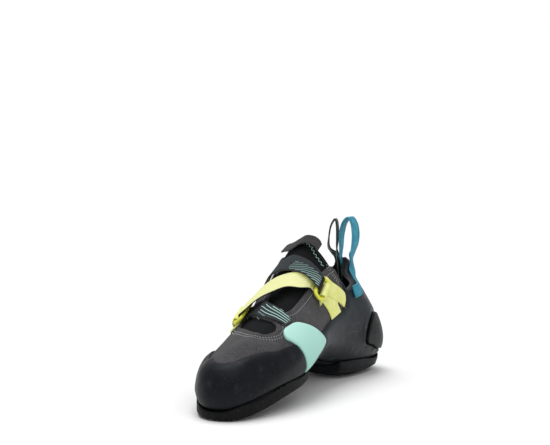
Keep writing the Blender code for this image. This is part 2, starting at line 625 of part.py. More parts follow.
def ring_path(bar, away, overhang):
    # rounded rectangle whose first side is the bar
    toe_end, heel_end, out = ring_frame(bar, away)[:3]
    axis = (heel_end - toe_end) / np.linalg.norm(heel_end - toe_end)
    start = toe_end - axis * overhang
    end = heel_end + axis * overhang
    length = np.linalg.norm(end - start)
    corner = ring_corner
    path = []
    for cx, cy, first in ((length - corner, corner, -90), (length - corner, ring_depth - corner, 0),
                          (corner, ring_depth - corner, 90), (corner, corner, 180)):
        for step in range(4):
            angle = math.radians(first + 30 * step)
            px = cx + corner * math.cos(angle)
            py = cy + corner * math.sin(angle)
            path.append(start + axis * px + out * py)
    return path


def colour(name, rgb, roughness, metallic=0.0):
    material = bpy.data.materials.new(name)
    material.use_nodes = True
    shader = material.node_tree.nodes["Principled BSDF"]
    shader.inputs["Base Color"].default_value = (*rgb, 1.0)
    shader.inputs["Roughness"].default_value = roughness
    shader.inputs["Metallic"].default_value = metallic
    return material


for thing in list(bpy.data.objects):
    bpy.data.objects.remove(thing, do_unlink=True)
for old in list(bpy.data.collections):
    bpy.data.collections.remove(old)
shoe = bpy.data.collections.new("climbing_shoe")
cutters = bpy.data.collections.new("cutters")
bpy.context.scene.collection.children.link(shoe)
bpy.context.scene.collection.children.link(cutters)

suede_grey = colour("suede_grey", (0.085, 0.081, 0.085), 0.92)
knit_black = colour("knit_black", (0.017, 0.018, 0.019), 0.95)
toe_rubber = colour("toe_rubber", (0.024, 0.029, 0.034), 0.55)
mint_rubber = colour("mint_rubber", (0.47, 0.80, 0.72), 0.60)
heel_rubber = colour("heel_rubber", (0.045, 0.055, 0.062), 0.55)
patch_rubber = colour("patch_rubber", (0.030, 0.036, 0.041), 0.50)
sole_black = colour("sole_black", (0.012, 0.012, 0.012), 0.60)
midsole_black = colour("midsole_black", (0.020, 0.020, 0.022), 0.75)
heel_sole_black = colour("heel_sole_black", (0.013, 0.014, 0.015), 0.60)
footbed_grey = colour("footbed_grey", (0.10, 0.10, 0.11), 0.90)
strap_grey = colour("strap_grey", (0.075, 0.085, 0.095), 0.85)
ring_yellow = colour("ring_yellow", (0.85, 0.83, 0.06), 0.40)
tab_yellow = colour("tab_yellow", (0.80, 0.81, 0.24), 0.60)
tab_yellow_out = colour("tab_yellow_out", (0.78, 0.79, 0.22), 0.60)
ring_yellow_out = colour("ring_yellow_out", (0.84, 0.82, 0.07), 0.40)
loop_blue = colour("loop_blue", (0.045, 0.26, 0.38), 0.80)
loop_black = colour("loop_black", (0.020, 0.022, 0.024), 0.85)
edge_suede = colour("edge_suede", (0.075, 0.072, 0.076), 0.92)

collar_cut = side_block("collar_cut", collar_line)
collar_low = side_block("collar_low", shifted(collar_line, up=-collar_gap))
dip_cut = back_block("dip_cut", dip_line)
dip_low = back_block("dip_low", tuple((x, z - collar_gap / instep_height) for x, z in dip_line))
throat_cut = strip_block("throat_cut", throat_rows, cut_in, cut_out)
window_cut = loop_block("window_cut", window_loop, window_mid, cut_in, cut_out)
under_cut = strip_block("under_cut", [(s, -w, w) for s, w in under_rows], cut_in, cut_out, across=6)
sole_low = side_block("sole_low", closed_below(sole_line))
board_low = side_block("board_low", closed_below(shifted(sole_line, up=-rand_under - fit / 2)))
board_high = side_block("board_high", closed_below(shifted(sole_line, up=-rand_under + fit / 2)))
toe_side = side_block("toe_side", closed_below(toe_line_in), closed_below(toe_line_out))
toe_room = side_block("toe_room", closed_below(shifted(toe_line_in, up=fit, forward=rand_gap)),
                      closed_below(shifted(toe_line_out, up=fit, forward=rand_gap)))
heel_side = side_block("heel_side", heel_line_in + heel_ends, heel_line_out + heel_ends)
patch_side = side_block("patch_side", patch_line)
patch_room = side_block("patch_room", grown(patch_line, fit))
band_cut = loop_block("band_cut", band_loop, band_mid, overlay_in, overlay_out)
band_room = loop_block("band_room", band_loop, band_mid, overlay_in, overlay_out, grow=band_grow)

upper = layer("upper", upper_in, 0.0, suede_grey)
cut(upper, collar_cut)
cut(upper, dip_cut)
cut(upper, throat_cut)
cut(upper, window_cut)
cut(upper, under_cut)

sock_rows = tuple(s for s in row_steps if 4.2 < s < 13.5)
sock_turns = tuple(q for q in turn_steps if 0.45 < q < 1.55)
sock_s, sock_q = np.meshgrid(sock_rows, sock_turns, indexing="ij")
knit_sock = grid_solid("knit_sock", shoe,
                       skin(sock_s, sock_q, sock_out).reshape(sock_s.shape + (3,)),
                       skin(sock_s, sock_q, sock_in).reshape(sock_s.shape + (3,)),
                       material=knit_black)

insole = layer("insole", upper_in - fit, -fit, footbed_grey, rows=(1.3, 15.6), turns=0.43)
bed_rows = [(s + (bed_gap_row if s < 8 else -bed_gap_row), bed_gap_turn - w, w - bed_gap_turn)
            for s, w in under_rows]
under_room = strip_block("under_room", bed_rows, cut_in, cut_out, across=6)
cut(insole, under_room, keep=True)

midsole = layer("midsole", rand_in, rand_out, midsole_black, rows=(0.0, 17.8), turns=0.75)
cut(midsole, board_low, keep=True)

toe_rand = layer("toe_rand", rand_in, rand_out, toe_rubber, rows=(0.0, 9.1))
cut(toe_rand, toe_side, keep=True)
cut(toe_rand, board_high)
cut(toe_rand, band_room)

arch_band = layer("arch_band", rand_in, rand_out + fit, mint_rubber, rows=(4.2, 10.2), turns=0.9)
cut(arch_band, band_cut, keep=True)
cut(arch_band, board_high)

heel_rand = layer("heel_rand", rand_in, rand_out, heel_rubber, rows=(6.2, 22.0), turns=0.9)
cut(heel_rand, heel_side, keep=True)
cut(heel_rand, board_high)
cut(heel_rand, toe_room)
cut(heel_rand, band_room)
cut(heel_rand, patch_room)
cut(heel_rand, collar_low)
cut(heel_rand, dip_low)

heel_patch = layer("heel_patch", rand_in, patch_out, patch_rubber, rows=(12.1, 20.0), turns=0.61)
cut(heel_patch, patch_side, keep=True)

front_edges = level_outline(front_height * instep_height, front_rows, front_proud)
front_plan = plan_block("front_plan", front_edges, front_levels)
outsole = layer("outsole_forefoot", sole_in, sole_out, sole_black, rows=(0.0, 9.1), turns=0.75)
cut(outsole, front_plan, keep=True)
cut(outsole, sole_low, keep=True)

heel_edges_out = level_outline(heel_height * instep_height, heel_rows, heel_proud)
heel_plan = plan_block("heel_plan", heel_edges_out, heel_levels)
heel_sole = layer("heel_sole", sole_in, sole_out, heel_sole_black, rows=(10.2, 17.8), turns=0.50)
cut(heel_sole, heel_plan, keep=True)
cut(heel_sole, sole_low, keep=True)

tab_block_in = loop_block("tab_block_in", tab_loop_in, tab_mid_in, overlay_in, overlay_out)
tab_in = layer("tab_medial", rand_in, rand_in + webbing, tab_yellow, rows=(8.2, 14.5), turns=0.95)
cut(tab_in, tab_block_in, keep=True)
cut(tab_in, side_block("heel_room_in", shifted(heel_line_in, forward=-tab_gap) + heel_ends))
tab_block_out = loop_block("tab_block_out", tab_loop_out, tab_mid_out, overlay_in, overlay_out)
tab_out = layer("tab_lateral", rand_in, rand_in + webbing, tab_yellow_out, rows=(6.2, 10.2))
cut(tab_out, tab_block_out, keep=True)

turn_radius = ring_wire + 2 * fit + webbing / 2
inward = np.array([1.0, 0.0, 0.0])
toe_edges = []
heel_edges = []
for stations, away in ((strap_low, None), (bar_out, -inward), (strap_mid, None),
                       (bar_in, inward), (strap_tail, None)):
    if away is None:
        near, far = edge_pairs(stations)
        near = smooth_line(near, 2)
        far = smooth_line(far, 2)
    else:
        toe_end, heel_end, out, up = ring_frame(stations, away)
        near, far = turn_round(toe_end, heel_end, out, up, turn_radius)
    toe_edges.extend(near)
    heel_edges.extend(far)
toe_edges = np.array(toe_edges)
heel_edges = np.array(heel_edges)
strap = ribbon("strap", shoe, strap_grey, (toe_edges + heel_edges) / 2, heel_edges - toe_edges,
               np.linalg.norm(heel_edges - toe_edges, axis=1), webbing)

ring_in = tube("ring_medial", shoe, ring_yellow,
               ring_path(bar_in, inward, ring_over), ring_wire)
ring_out = tube("ring_lateral", shoe, ring_yellow_out,
                ring_path(bar_out, -inward, ring_over), ring_wire)


def hook(name, bar, away):
    # fold of a tab over the far side of its ring
    toe_end, heel_end, out, up = ring_frame(bar, away)
    near, far = turn_round(toe_end + out * ring_depth, heel_end + out * ring_depth, -out, up,
                           turn_radius)
    way = -1 if away[0] > 0 else 1
    rows = [(bar[0], bar[1] + way * turn, lift, bar[3], bar[4] + way * turn, lift)
            for turn, lift in hook_lifts]
    edge_near, edge_far = edge_pairs(rows)
    near = np.vstack([edge_near[:1], near, edge_near[1:]])
    far = np.vstack([edge_far[:1], far, edge_far[1:]])
    return ribbon(name, cutters, None, (near + far) / 2, far - near,
                  np.linalg.norm(far - near, axis=1) * hook_share, webbing)


join(tab_in, hook("hook_in", bar_in, inward))
join(tab_out, hook("hook_out", bar_out, -inward))


def laid(rows, across):
    # points held off the last, with the width directions turned flat to it
    points = []
    flat = []
    for (s, q, lift), way in zip(rows, across):
        low, high = skin((s, s), (q, q), (lift / 1000, lift / 1000 + 0.001))
        up = (high - low) / np.linalg.norm(high - low)
        points.append(low)
        flat.append(np.array(way) - up * np.dot(up, way))
    return points, flat


def free_strip(name, material, line, across, width, root=(), tail=()):
    # strip through hand-placed points, its ends lying on the shoe
    scale = np.array([ball_width, last_length, instep_height])
    count = len(root)
    points, flat = laid(root, across[:count])
    points += [np.array(point) * scale for point in line]
    flat += [np.array(way) for way in across[count:count + len(line)]]
    more, more_flat = laid(tail, across[count + len(line):])
    return ribbon(name, shoe, material, smooth_line(points + more, 2),
                  smooth_line(flat + more_flat, 2), width, webbing)


free_strip("pull_loop_medial", loop_blue, loop_in_line, loop_in_across, loop_width,
           loop_in_root, loop_in_tail)
free_strip("pull_loop_lateral", loop_black, loop_out_line, loop_out_across, loop_width_out,
           loop_out_root, loop_out_tail)
free_strip("tongue_tab", edge_suede, (), (tongue_across,) * len(tongue_rows), tongue_width,
           tongue_rows)
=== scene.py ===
import bpy
import bmesh
import math
import numpy as np
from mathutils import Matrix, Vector


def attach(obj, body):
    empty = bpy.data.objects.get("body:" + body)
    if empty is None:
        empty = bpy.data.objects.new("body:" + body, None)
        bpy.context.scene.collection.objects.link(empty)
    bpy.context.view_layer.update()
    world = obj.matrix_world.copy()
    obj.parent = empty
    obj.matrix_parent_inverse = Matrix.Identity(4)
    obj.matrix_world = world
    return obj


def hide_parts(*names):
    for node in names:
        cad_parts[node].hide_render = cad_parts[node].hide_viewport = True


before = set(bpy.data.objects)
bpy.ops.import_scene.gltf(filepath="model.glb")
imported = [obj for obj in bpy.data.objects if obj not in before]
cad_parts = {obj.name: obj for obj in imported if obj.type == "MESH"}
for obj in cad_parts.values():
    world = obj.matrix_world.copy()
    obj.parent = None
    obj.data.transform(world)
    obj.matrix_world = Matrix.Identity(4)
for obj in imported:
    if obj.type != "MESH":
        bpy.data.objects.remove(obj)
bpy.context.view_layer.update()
print("frame loaded")

# climbing shoe, right foot, heel contact at the origin, toe towards -Y, big-toe side towards +X
millimetre = 0.001
last = {"length": 0.2365, "ball": 0.079, "instep": 0.111, "girth": 0.105, "rowCount": 22,
        "rowTable": 661, "turnTable": 401, "steadyRows": 0.15, "sidePoints": 160, "sideBlend": 0.02}
layers = {"suede": 0.0018, "knit": 0.0012, "rubber": 0.0020, "soleDepth": 0.0056, "webbing": 0.0012,
          "fit": 0.0003, "randUnder": 0.0022, "patchProud": 0.0010}
sockOut = -layers["suede"] - layers["fit"]
randIn = layers["fit"]
randOut = randIn + layers["rubber"]
soleIn = randOut + layers["fit"]
soleOut = soleIn + layers["soleDepth"]

# sections of the last: bottom and top points (y, z), edges across, height of the widest line,
# roundness below, above inside, above outside, ridge shift; shares of length, instep and ball
lastRows = (
    (-0.835, 0.149, -0.835, 0.149, 0.177, 0.177, 0.50, 2.3, 2.1, 2.1, 0.00),
    (-0.828, 0.084, -0.825, 0.248, 0.285, 0.095, 0.48, 2.7, 2.1, 2.1, 0.00),
    (-0.810, 0.068, -0.801, 0.315, 0.373, 0.006, 0.46, 3.4, 2.1, 2.1, 0.00),
    (-0.774, 0.067, -0.761, 0.365, 0.430, -0.080, 0.43, 3.9, 2.1, 1.70, 0.10),
    (-0.723, 0.086, -0.706, 0.405, 0.481, -0.168, 0.40, 3.9, 2.1, 1.45, 0.20),
    (-0.660, 0.119, -0.643, 0.446, 0.513, -0.264, 0.37, 3.8, 2.0, 1.28, 0.30),
    (-0.588, 0.141, -0.571, 0.500, 0.525, -0.348, 0.34, 3.6, 1.9, 1.28, 0.35),
    (-0.512, 0.160, -0.495, 0.568, 0.519, -0.410, 0.32, 3.4, 1.8, 1.22, 0.35),
    (-0.431, 0.185, -0.423, 0.658, 0.487, -0.450, 0.32, 3.0, 1.7, 1.28, 0.35),
    (-0.347, 0.198, -0.355, 0.757, 0.437, -0.443, 0.34, 2.7, 1.6, 1.4, 0.30),
    (-0.262, 0.185, -0.300, 0.847, 0.392, -0.418, 0.36, 2.6, 1.6, 1.5, 0.20),
    (-0.182, 0.140, -0.258, 0.910, 0.367, -0.405, 0.36, 2.6, 1.6, 2.00, 0.15),
    (-0.106, 0.088, -0.228, 0.950, 0.361, -0.392, 0.36, 3.0, 1.7, 2.40, 0.10),
    (-0.034, 0.064, -0.216, 0.970, 0.361, -0.386, 0.36, 3.4, 1.7, 2.50, 0.10),
    (0.034, 0.064, -0.211, 0.984, 0.367, -0.380, 0.36, 3.4, 1.8, 2.40, 0.05),
    (0.121, 0.078, -0.209, 0.991, 0.390, -0.385, 0.34, 3.0, 1.7, 2.00, 0.00),
    (0.157, 0.144, -0.207, 0.995, 0.346, -0.366, 0.31, 2.6, 1.45, 1.7, 0.00),
    (0.154, 0.254, -0.207, 0.996, 0.286, -0.342, 0.29, 2.4, 1.35, 1.6, 0.00),
    (0.150, 0.374, -0.207, 0.997, 0.212, -0.300, 0.30, 2.2, 1.50, 1.6, 0.00),
    (0.114, 0.500, -0.207, 0.998, 0.172, -0.258, 0.36, 2.0, 1.7, 1.8, 0.00),
    (0.076, 0.618, -0.207, 0.999, 0.160, -0.205, 0.44, 1.9, 1.8, 1.9, 0.00),
    (0.047, 0.721, -0.207, 1.000, 0.165, -0.165, 0.52, 1.9, 2.0, 2.0, 0.00),
    (0.026, 0.811, -0.207, 1.000, 0.160, -0.135, 0.52, 1.9, 2.0, 2.0, 0.00),
)

# side profiles in shares of length and instep, and loops in rows and turns of the last
soleLine = ((-0.90, 0.050), (-0.835, 0.055), (-0.815, 0.075), (-0.793, 0.108), (-0.755, 0.132),
            (-0.715, 0.155), (-0.668, 0.172), (-0.613, 0.180), (-0.560, 0.182), (-0.505, 0.184),
            (-0.44, 0.205), (-0.36, 0.225), (-0.27, 0.210), (-0.19, 0.160), (-0.142, 0.143),
            (-0.071, 0.135), (0.0, 0.115), (0.072, 0.100), (0.11, 0.115), (0.155, 0.134),
            (0.25, 0.138))
toeLineIn = ((-0.90, 0.300), (-0.830, 0.315), (-0.803, 0.330), (-0.783, 0.340), (-0.736, 0.367),
             (-0.681, 0.380), (-0.640, 0.375), (-0.585, 0.385), (-0.52, 0.36), (-0.455, 0.16))
toeLineOut = ((-0.90, 0.290), (-0.830, 0.300), (-0.803, 0.310), (-0.783, 0.310), (-0.736, 0.310),
              (-0.681, 0.300), (-0.640, 0.295), (-0.585, 0.290), (-0.52, 0.28), (-0.45, 0.16))
heelLineIn = ((-0.48, 0.16), (-0.44, 0.395), (-0.405, 0.408), (-0.368, 0.414), (-0.342, 0.428),
              (-0.295, 0.455), (-0.214, 0.486), (-0.179, 0.508), (-0.158, 0.551), (-0.152, 0.590),
              (-0.154, 0.642), (-0.150, 0.760), (-0.06, 0.94))
heelLineOut = ((-0.44, 0.16), (-0.435, 0.270), (-0.418, 0.285), (-0.400, 0.300), (-0.370, 0.330),
               (-0.340, 0.360), (-0.290, 0.420), (-0.217, 0.475), (-0.190, 0.505), (-0.168, 0.530),
               (-0.158, 0.630), (-0.150, 0.760), (-0.06, 0.94))
collarLine = ((-0.32, 1.25), (-0.205, 0.92), (-0.177, 0.804), (-0.162, 0.729), (-0.150, 0.680),
              (-0.139, 0.640), (-0.122, 0.640), (-0.100, 0.665), (-0.070, 0.720), (-0.045, 0.775),
              (-0.030, 0.808), (-0.010, 0.820), (0.25, 0.822))
patchLine = ((0.30, 0.400), (0.10, 0.415), (0.040, 0.425), (0.007, 0.440), (-0.007, 0.425),
             (-0.020, 0.376), (-0.028, 0.323), (-0.032, 0.272), (-0.026, 0.236), (0.014, 0.209),
             (0.054, 0.174), (0.103, 0.158), (0.30, 0.154))
dipLine = ((0.013, 0.824), (-0.032, 0.806), (-0.057, 0.779), (-0.076, 0.752), (-0.114, 0.734),
           (-0.165, 0.730), (-0.240, 0.757), (-0.300, 0.790), (-0.300, 1.250), (0.013, 1.250))
ankleRows = (13.0, 14.5, 14.8, 17.4, 18.3, 19.4, 21.0)
ankleTurns = (0.78, 0.78, 0.70, 0.70, 0.66, 0.57, 0.48)
dipFront = -0.051
windowLoop = ((5.33, 0.94), (5.79, 0.896), (6.13, 0.924), (6.30, 0.995), (6.49, 1.052),
              (6.80, 1.12), (7.12, 1.184), (7.55, 1.27), (7.98, 1.36), (7.90, 1.405),
              (7.30, 1.37), (6.60, 1.26), (6.00, 1.16), (5.60, 1.078), (5.38, 1.01))
throatRows = ((6.80, 0.985, 1.075), (6.95, 0.958, 1.115), (7.23, 0.915, 1.150),
              (7.96, 0.885, 1.180), (8.92, 0.850, 1.200), (9.86, 0.812, 1.210),
              (11.05, 0.800, 1.210), (12.90, 0.800, 1.205), (13.6, 0.770, 1.240),
              (15.5, 0.740, 1.270))
underRows = ((1.70, 0.10), (2.20, 0.22), (3.0, 0.27), (4.2, 0.285), (6.0, 0.285), (8.0, 0.26),
             (10.0, 0.25), (12.0, 0.26), (13.6, 0.26), (14.5, 0.22), (15.1, 0.10))
bandLoop = ((6.12, 0.840), (6.40, 0.838), (6.88, 0.815), (7.34, 0.750), (7.80, 0.675),
            (8.20, 0.600), (8.62, 0.520), (8.85, 0.470), (8.84, 0.440), (8.50, 0.425),
            (7.95, 0.420), (7.45, 0.385), (7.20, 0.375), (7.10, 0.400), (7.00, 0.447),
            (6.80, 0.530), (6.62, 0.593), (6.40, 0.655), (6.19, 0.704), (5.92, 0.765),
            (5.95, 0.810))
tabLoopIn = ((9.46, 0.715), (9.62, 0.735), (10.00, 0.752), (10.60, 0.762), (11.10, 0.765),
             (11.50, 0.715), (12.15, 0.672), (12.62, 0.640), (12.85, 0.602), (12.75, 0.570),
             (12.40, 0.542), (12.10, 0.528), (11.75, 0.552), (11.35, 0.585), (11.18, 0.575),
             (11.28, 0.535), (11.38, 0.508), (10.75, 0.498), (10.10, 0.490), (9.98, 0.530),
             (9.88, 0.575), (9.70, 0.632), (9.50, 0.690))
tabLoopOut = ((7.75, 1.405), (8.10, 1.395), (8.45, 1.395), (8.72, 1.410), (8.95, 1.450),
              (9.00, 1.500), (8.80, 1.550), (8.40, 1.565), (8.00, 1.540), (7.75, 1.490),
              (7.66, 1.440))

# strap stations: row, turn and lift in millimetres of the toe edge and of the heel edge
strapLow = ((6.36, 0.868, 1.0, 6.84, 0.853, 1.0), (6.28, 0.925, 1.4, 6.86, 0.905, 1.3),
            (6.30, 0.985, 1.3, 6.98, 0.960, 1.2), (6.48, 1.050, 1.1, 7.20, 1.030, 1.8),
            (6.75, 1.110, 1.2, 7.50, 1.090, 2.0), (7.08, 1.170, 1.2, 7.85, 1.150, 2.0),
            (7.38, 1.235, 1.1, 8.15, 1.215, 1.6), (7.60, 1.295, 1.0, 8.36, 1.275, 1.1))
strapMid = ((7.74, 1.290, 6.2, 8.50, 1.265, 6.2), (7.84, 1.230, 6.6, 8.66, 1.200, 6.6),
            (7.92, 1.160, 6.4, 8.78, 1.125, 6.4), (7.98, 1.080, 5.6, 8.86, 1.050, 5.6),
            (8.10, 1.000, 4.6, 9.00, 0.980, 4.6), (8.40, 0.920, 3.6, 9.30, 0.905, 3.6),
            (8.80, 0.868, 2.6, 9.72, 0.860, 2.6), (9.04, 0.838, 1.4, 10.02, 0.834, 1.4))
strapTail = ((9.12, 0.848, 6.2, 10.12, 0.844, 6.2), (9.06, 0.895, 6.2, 10.14, 0.890, 5.2),
             (8.98, 0.950, 6.6, 10.16, 0.940, 4.2), (8.98, 1.020, 7.6, 10.20, 1.010, 3.8),
             (9.06, 1.090, 7.8, 10.24, 1.080, 3.4), (9.22, 1.160, 6.6, 10.28, 1.150, 2.6),
             (9.36, 1.230, 4.2, 10.30, 1.220, 1.6), (9.44, 1.300, 1.8, 10.30, 1.290, 1.1),
             (9.48, 1.370, 1.0, 10.30, 1.360, 1.0), (9.50, 1.440, 1.0, 10.30, 1.430, 1.0))
ring = {"barOut": (7.66, 1.350, 3.5, 8.42, 1.330, 3.5), "barIn": (9.12, 0.796, 3.5, 10.14, 0.796, 3.5),
        "depth": 0.0078, "corner": 0.003, "over": 0.003, "wire": 0.0014,
        "hookNarrow": 0.94, "search": 0.12,
        "foldIn": ((9.12, 0.681, 0.9, 10.14, 0.681, 0.9), (9.28, 0.700, 4.0, 10.26, 0.704, 4.0),
                   (9.62, 0.672, 2.1, 10.50, 0.680, 2.1)),
        "foldOut": ((7.66, 1.465, 0.9, 8.42, 1.445, 0.9), (7.74, 1.450, 4.0, 8.44, 1.432, 4.0),
                    (7.86, 1.480, 2.1, 8.46, 1.465, 2.1))}


# lengths, ways and attributes
def runOf(line):  # length along a line, point by point
    return np.concatenate([[0.0], np.cumsum(np.linalg.norm(np.diff(line, axis=0), axis=1))])


def oneLong(ways):
    return ways / np.linalg.norm(ways, axis=-1, keepdims=True)


def added(name, data):
    item = bpy.data.objects.new(name, data)
    bpy.context.scene.collection.objects.link(item)
    return item


def shade(item, smooth=True):
    item.data.polygons.foreach_set("use_smooth", [smooth] * len(item.data.polygons))


def store(item, name, values):  # one value a point
    attribute = item.data.attributes.new(name, "FLOAT", "POINT")
    attribute.data.foreach_set("value", np.asarray(values).astype(np.float32))


def storeFollow(item, flat):  # lengths along and across, in metres
    uv = item.data.uv_layers.new(name="follow")
    loops = np.empty(len(item.data.loops), dtype=np.int32)
    item.data.loops.foreach_get("vertex_index", loops)
    uv.data.foreach_set("uv", np.asarray(flat)[loops].ravel().astype(np.float32))


# shape of the last
def splineRows(table, s):
    table = np.array(table, dtype=float) * np.array([last["length"], last["instep"], last["length"],
                                                     last["instep"], last["ball"], last["ball"]] + [1] * 5)
    before = table[1][[2, 3, 0, 1, 5, 4, 6, 7, 8, 9, 10]]
    table = np.vstack([before, table, 2 * table[-1] - table[-2]])
    i = np.minimum(s.astype(int), last["rowCount"] - 1)
    f = (s - i)[:, None]
    return ((1 - f) ** 3 * table[i] + (3 * f ** 3 - 6 * f ** 2 + 4) * table[i + 1]
            + (-3 * f ** 3 + 3 * f ** 2 + 3 * f + 1) * table[i + 2] + f ** 3 * table[i + 3]) / 6


def sectionHalf(row, side, turns):  # one side of a section, bottom to ridge, spaced by its own length
    yb, zb, yt, zt, inner, outer, wide, low, topIn, topOut, ridge = row
    angle = np.linspace(0.0, math.pi / 2, last["sidePoints"])
    sine, cosine = np.sin(angle), np.maximum(np.cos(angle), 0.0)
    top, ridge = (topIn, ridge) if side > 0 else (topOut, -ridge)
    across = np.concatenate([sine ** (2 / low), (ridge + (1 - ridge) * cosine ** (2 / top))[1:]])
    rise = np.concatenate([wide * (1 - cosine ** (2 / low)), (wide + (1 - wide) * sine ** (2 / top))[1:]])
    line = np.stack([(inner + outer) / 2 + side * (inner - outer) / 2 * across,
                     yb + (yt - yb) * rise, zb + (zt - zb) * rise], axis=1)
    run = runOf(line)
    return np.stack([np.interp(turns * run[-1], run, line[:, k]) for k in range(3)], axis=1)


def makeLast():
    rows = np.linspace(0.0, last["rowCount"], last["rowTable"])
    half = np.linspace(0.0, 1.0, (last["turnTable"] + 1) // 2)
    spots = np.empty((len(rows), last["turnTable"], 3))
    for k, row in enumerate(splineRows(lastRows, rows)):
        spots[k, :len(half)] = sectionHalf(row, 1, half)
        spots[k, len(half) - 1:] = sectionHalf(row, -1, half)[::-1]
    along = np.gradient(spots, axis=0)
    wrapped = np.concatenate([spots[:, -3:-1], spots, spots[:, 1:3]], axis=1)
    around = np.gradient(wrapped, axis=1)[:, 2:-2]
    normals = np.cross(along, around)
    normals /= np.maximum(np.linalg.norm(normals, axis=2, keepdims=True), 1e-12)
    steady = int(last["steadyRows"] / last["rowCount"] * (last["rowTable"] - 1)) + 1
    normals[:steady] = normals[steady]
    normals[0] = (0.0, -1.0, 0.0)
    return spots, normals


lastSpots, lastNormals = makeLast()


def lookUp(table, s, q):
    a = np.clip(np.asarray(s, float) / last["rowCount"], 0, 1) * (last["rowTable"] - 1)
    b = np.mod(np.asarray(q, float), 2.0) / 2.0 * (last["turnTable"] - 1)
    i, j = np.minimum(a.astype(int), last["rowTable"] - 2), np.minimum(b.astype(int), last["turnTable"] - 2)
    fa, fb = (a - i)[..., None], (b - j)[..., None]
    return ((1 - fa) * ((1 - fb) * table[i, j] + fb * table[i, j + 1])
            + fa * ((1 - fb) * table[i + 1, j] + fb * table[i + 1, j + 1]))


def skin(s, q, lift=0.0):
    s, q, lift = np.broadcast_arrays(np.asarray(s, float), np.asarray(q, float), np.asarray(lift, float))
    normal = lookUp(lastNormals, s, q)
    normal /= np.maximum(np.linalg.norm(normal, axis=-1, keepdims=True), 1e-9)
    return lookUp(lastSpots, s, q) + lift[..., None] * normal


def smoothLine(points, steps, closed=False):
    points = np.array(points, dtype=float)
    if closed:
        ends = np.vstack([points[-1:], points, points[:2]])
    else:
        ends = np.vstack([2 * points[0] - points[1], points, 2 * points[-1] - points[-2]])
    t = np.linspace(0.0, 1.0, steps, endpoint=False)[:, None]
    out = []
    for k in range(len(ends) - 3):
        a, b, c, d = ends[k:k + 4]
        out.append(b + (c - a) * t / 2 + (a - 2.5 * b + 2 * c - d / 2) * t * t
                   + (1.5 * (b - c) + (d - a) / 2) * t ** 3)
    if not closed:
        out.append(points[-1:])
    return np.vstack(out)


# signed gaps to an outline, positive inside, in metres
def insideOf(points, outline):
    x, y = points[:, 0], points[:, 1]
    inside = np.zeros(len(points), dtype=bool)
    for (ax, ay), (bx, by) in zip(outline, np.roll(outline, -1, axis=0)):
        if ay != by:
            crossing = (ay > y) != (by > y)
            inside ^= crossing & (x < (bx - ax) * (y - ay) / (by - ay) + ax)
    return inside


def gapTo(points, line, closed=True):
    ends = np.roll(line, -1, axis=0) if closed else line[1:]
    starts = line if closed else line[:-1]
    best = np.full(len(points), 1e9)
    for a, b in zip(starts, ends):
        way = b - a
        share = np.clip((points - a) @ way / max(way @ way, 1e-18), 0, 1)
        best = np.minimum(best, ((points - a - share[:, None] * way) ** 2).sum(axis=1))
    return np.sqrt(best)


def profile(line, floor=-0.4, steps=6):  # smooth side line closed below, in metres
    curve = smoothLine(line, steps)
    curve = np.vstack([curve, (curve[-1][0], floor), (curve[0][0], floor)])
    return curve * (last["length"], last["instep"])


def signedGap(flat, curve):
    gap = gapTo(flat, curve)
    return np.where(insideOf(flat, curve), gap, -gap)


def curveField(curves, sign=1):  # one side outline, or one for the inner and one for the outer side
    def field(s, q, spots):
        gaps = [signedGap(spots[:, 1:], curve) * sign for curve in curves]
        if len(gaps) == 1:
            return gaps[0]
        blend = np.clip(0.5 + spots[:, 0] / last["sideBlend"], 0, 1)
        return gaps[0] * blend + gaps[1] * (1 - blend)
    return field


def sideField(lineIn, lineOut=None, up=0.0, forward=0.0, sign=1):
    return curveField([profile(line) + (forward, up) for line in (lineIn, lineOut) if line], sign)


def closedField(line, up=0.0, sign=1):  # an outline that already closes, in the side view
    return curveField([np.array(line) * (last["length"], last["instep"]) + (0.0, up)], sign)


def turnField(curve, turned, sign, grow=0.0):  # closed curve in rows and turns of the last
    line = skin(curve[:, 0], curve[:, 1])

    def field(s, q, spots):
        gap = gapTo(lookUp(lastSpots, s, q), line)
        return (np.where(insideOf(np.stack([s, turned(q)], axis=1), curve), gap, -gap) + grow) * sign
    return field


def loopField(loop, sign=1, grow=0.0):
    return turnField(smoothLine(loop, 8, closed=True), lambda q: np.mod(q, 2.0), sign, grow)


def rawLoopField(loop, sign=1):
    return turnField(loop, lambda q: np.where(q > 1.0, q - 2.0, q) if loop[:, 1].min() < 0 else q, sign)


def bandLoopOf(rows):  # closed loop over a band between two turns at each row
    rows = np.array(rows)
    low, high = smoothLine(rows[:, :2], 4), smoothLine(rows[:, [0, 2]], 4)
    return np.vstack([low, high[::-1]])


def rawLoopField(loop, sign=1):
    line = skin(loop[:, 0], loop[:, 1])

    def field(s, q, spots):
        turned = np.where(q > 1.0, q - 2.0, q) if loop[:, 1].min() < 0 else q
        gap = gapTo(lookUp(lastSpots, s, q), line)
        return np.where(insideOf(np.stack([s, turned], axis=1), loop), gap, -gap) * sign
    return field


# panels of the shoe cut from the last
def setMaterial(item, material):
    item.data.materials.clear()
    item.data.materials.append(material)


def newMesh(name, verts, faces, material=None, smooth=True):
    mesh = bpy.data.meshes.new(name)
    mesh.from_pydata([tuple(v) for v in verts], [], [tuple(int(i) for i in f) for f in faces])
    mesh.update()
    item = added(name, mesh)
    shade(item, smooth)
    if material:
        mesh.materials.append(material)
    return item


def cleaned(item, gap=0.00001):
    shape = bmesh.new()
    shape.from_mesh(item.data)
    bmesh.ops.remove_doubles(shape, verts=shape.verts, dist=gap)
    bmesh.ops.recalc_face_normals(shape, faces=shape.faces)
    if shape.calc_volume(signed=True) < 0:
        bmesh.ops.reverse_faces(shape, faces=shape.faces)
    shape.to_mesh(item.data)
    shape.free()
    return item


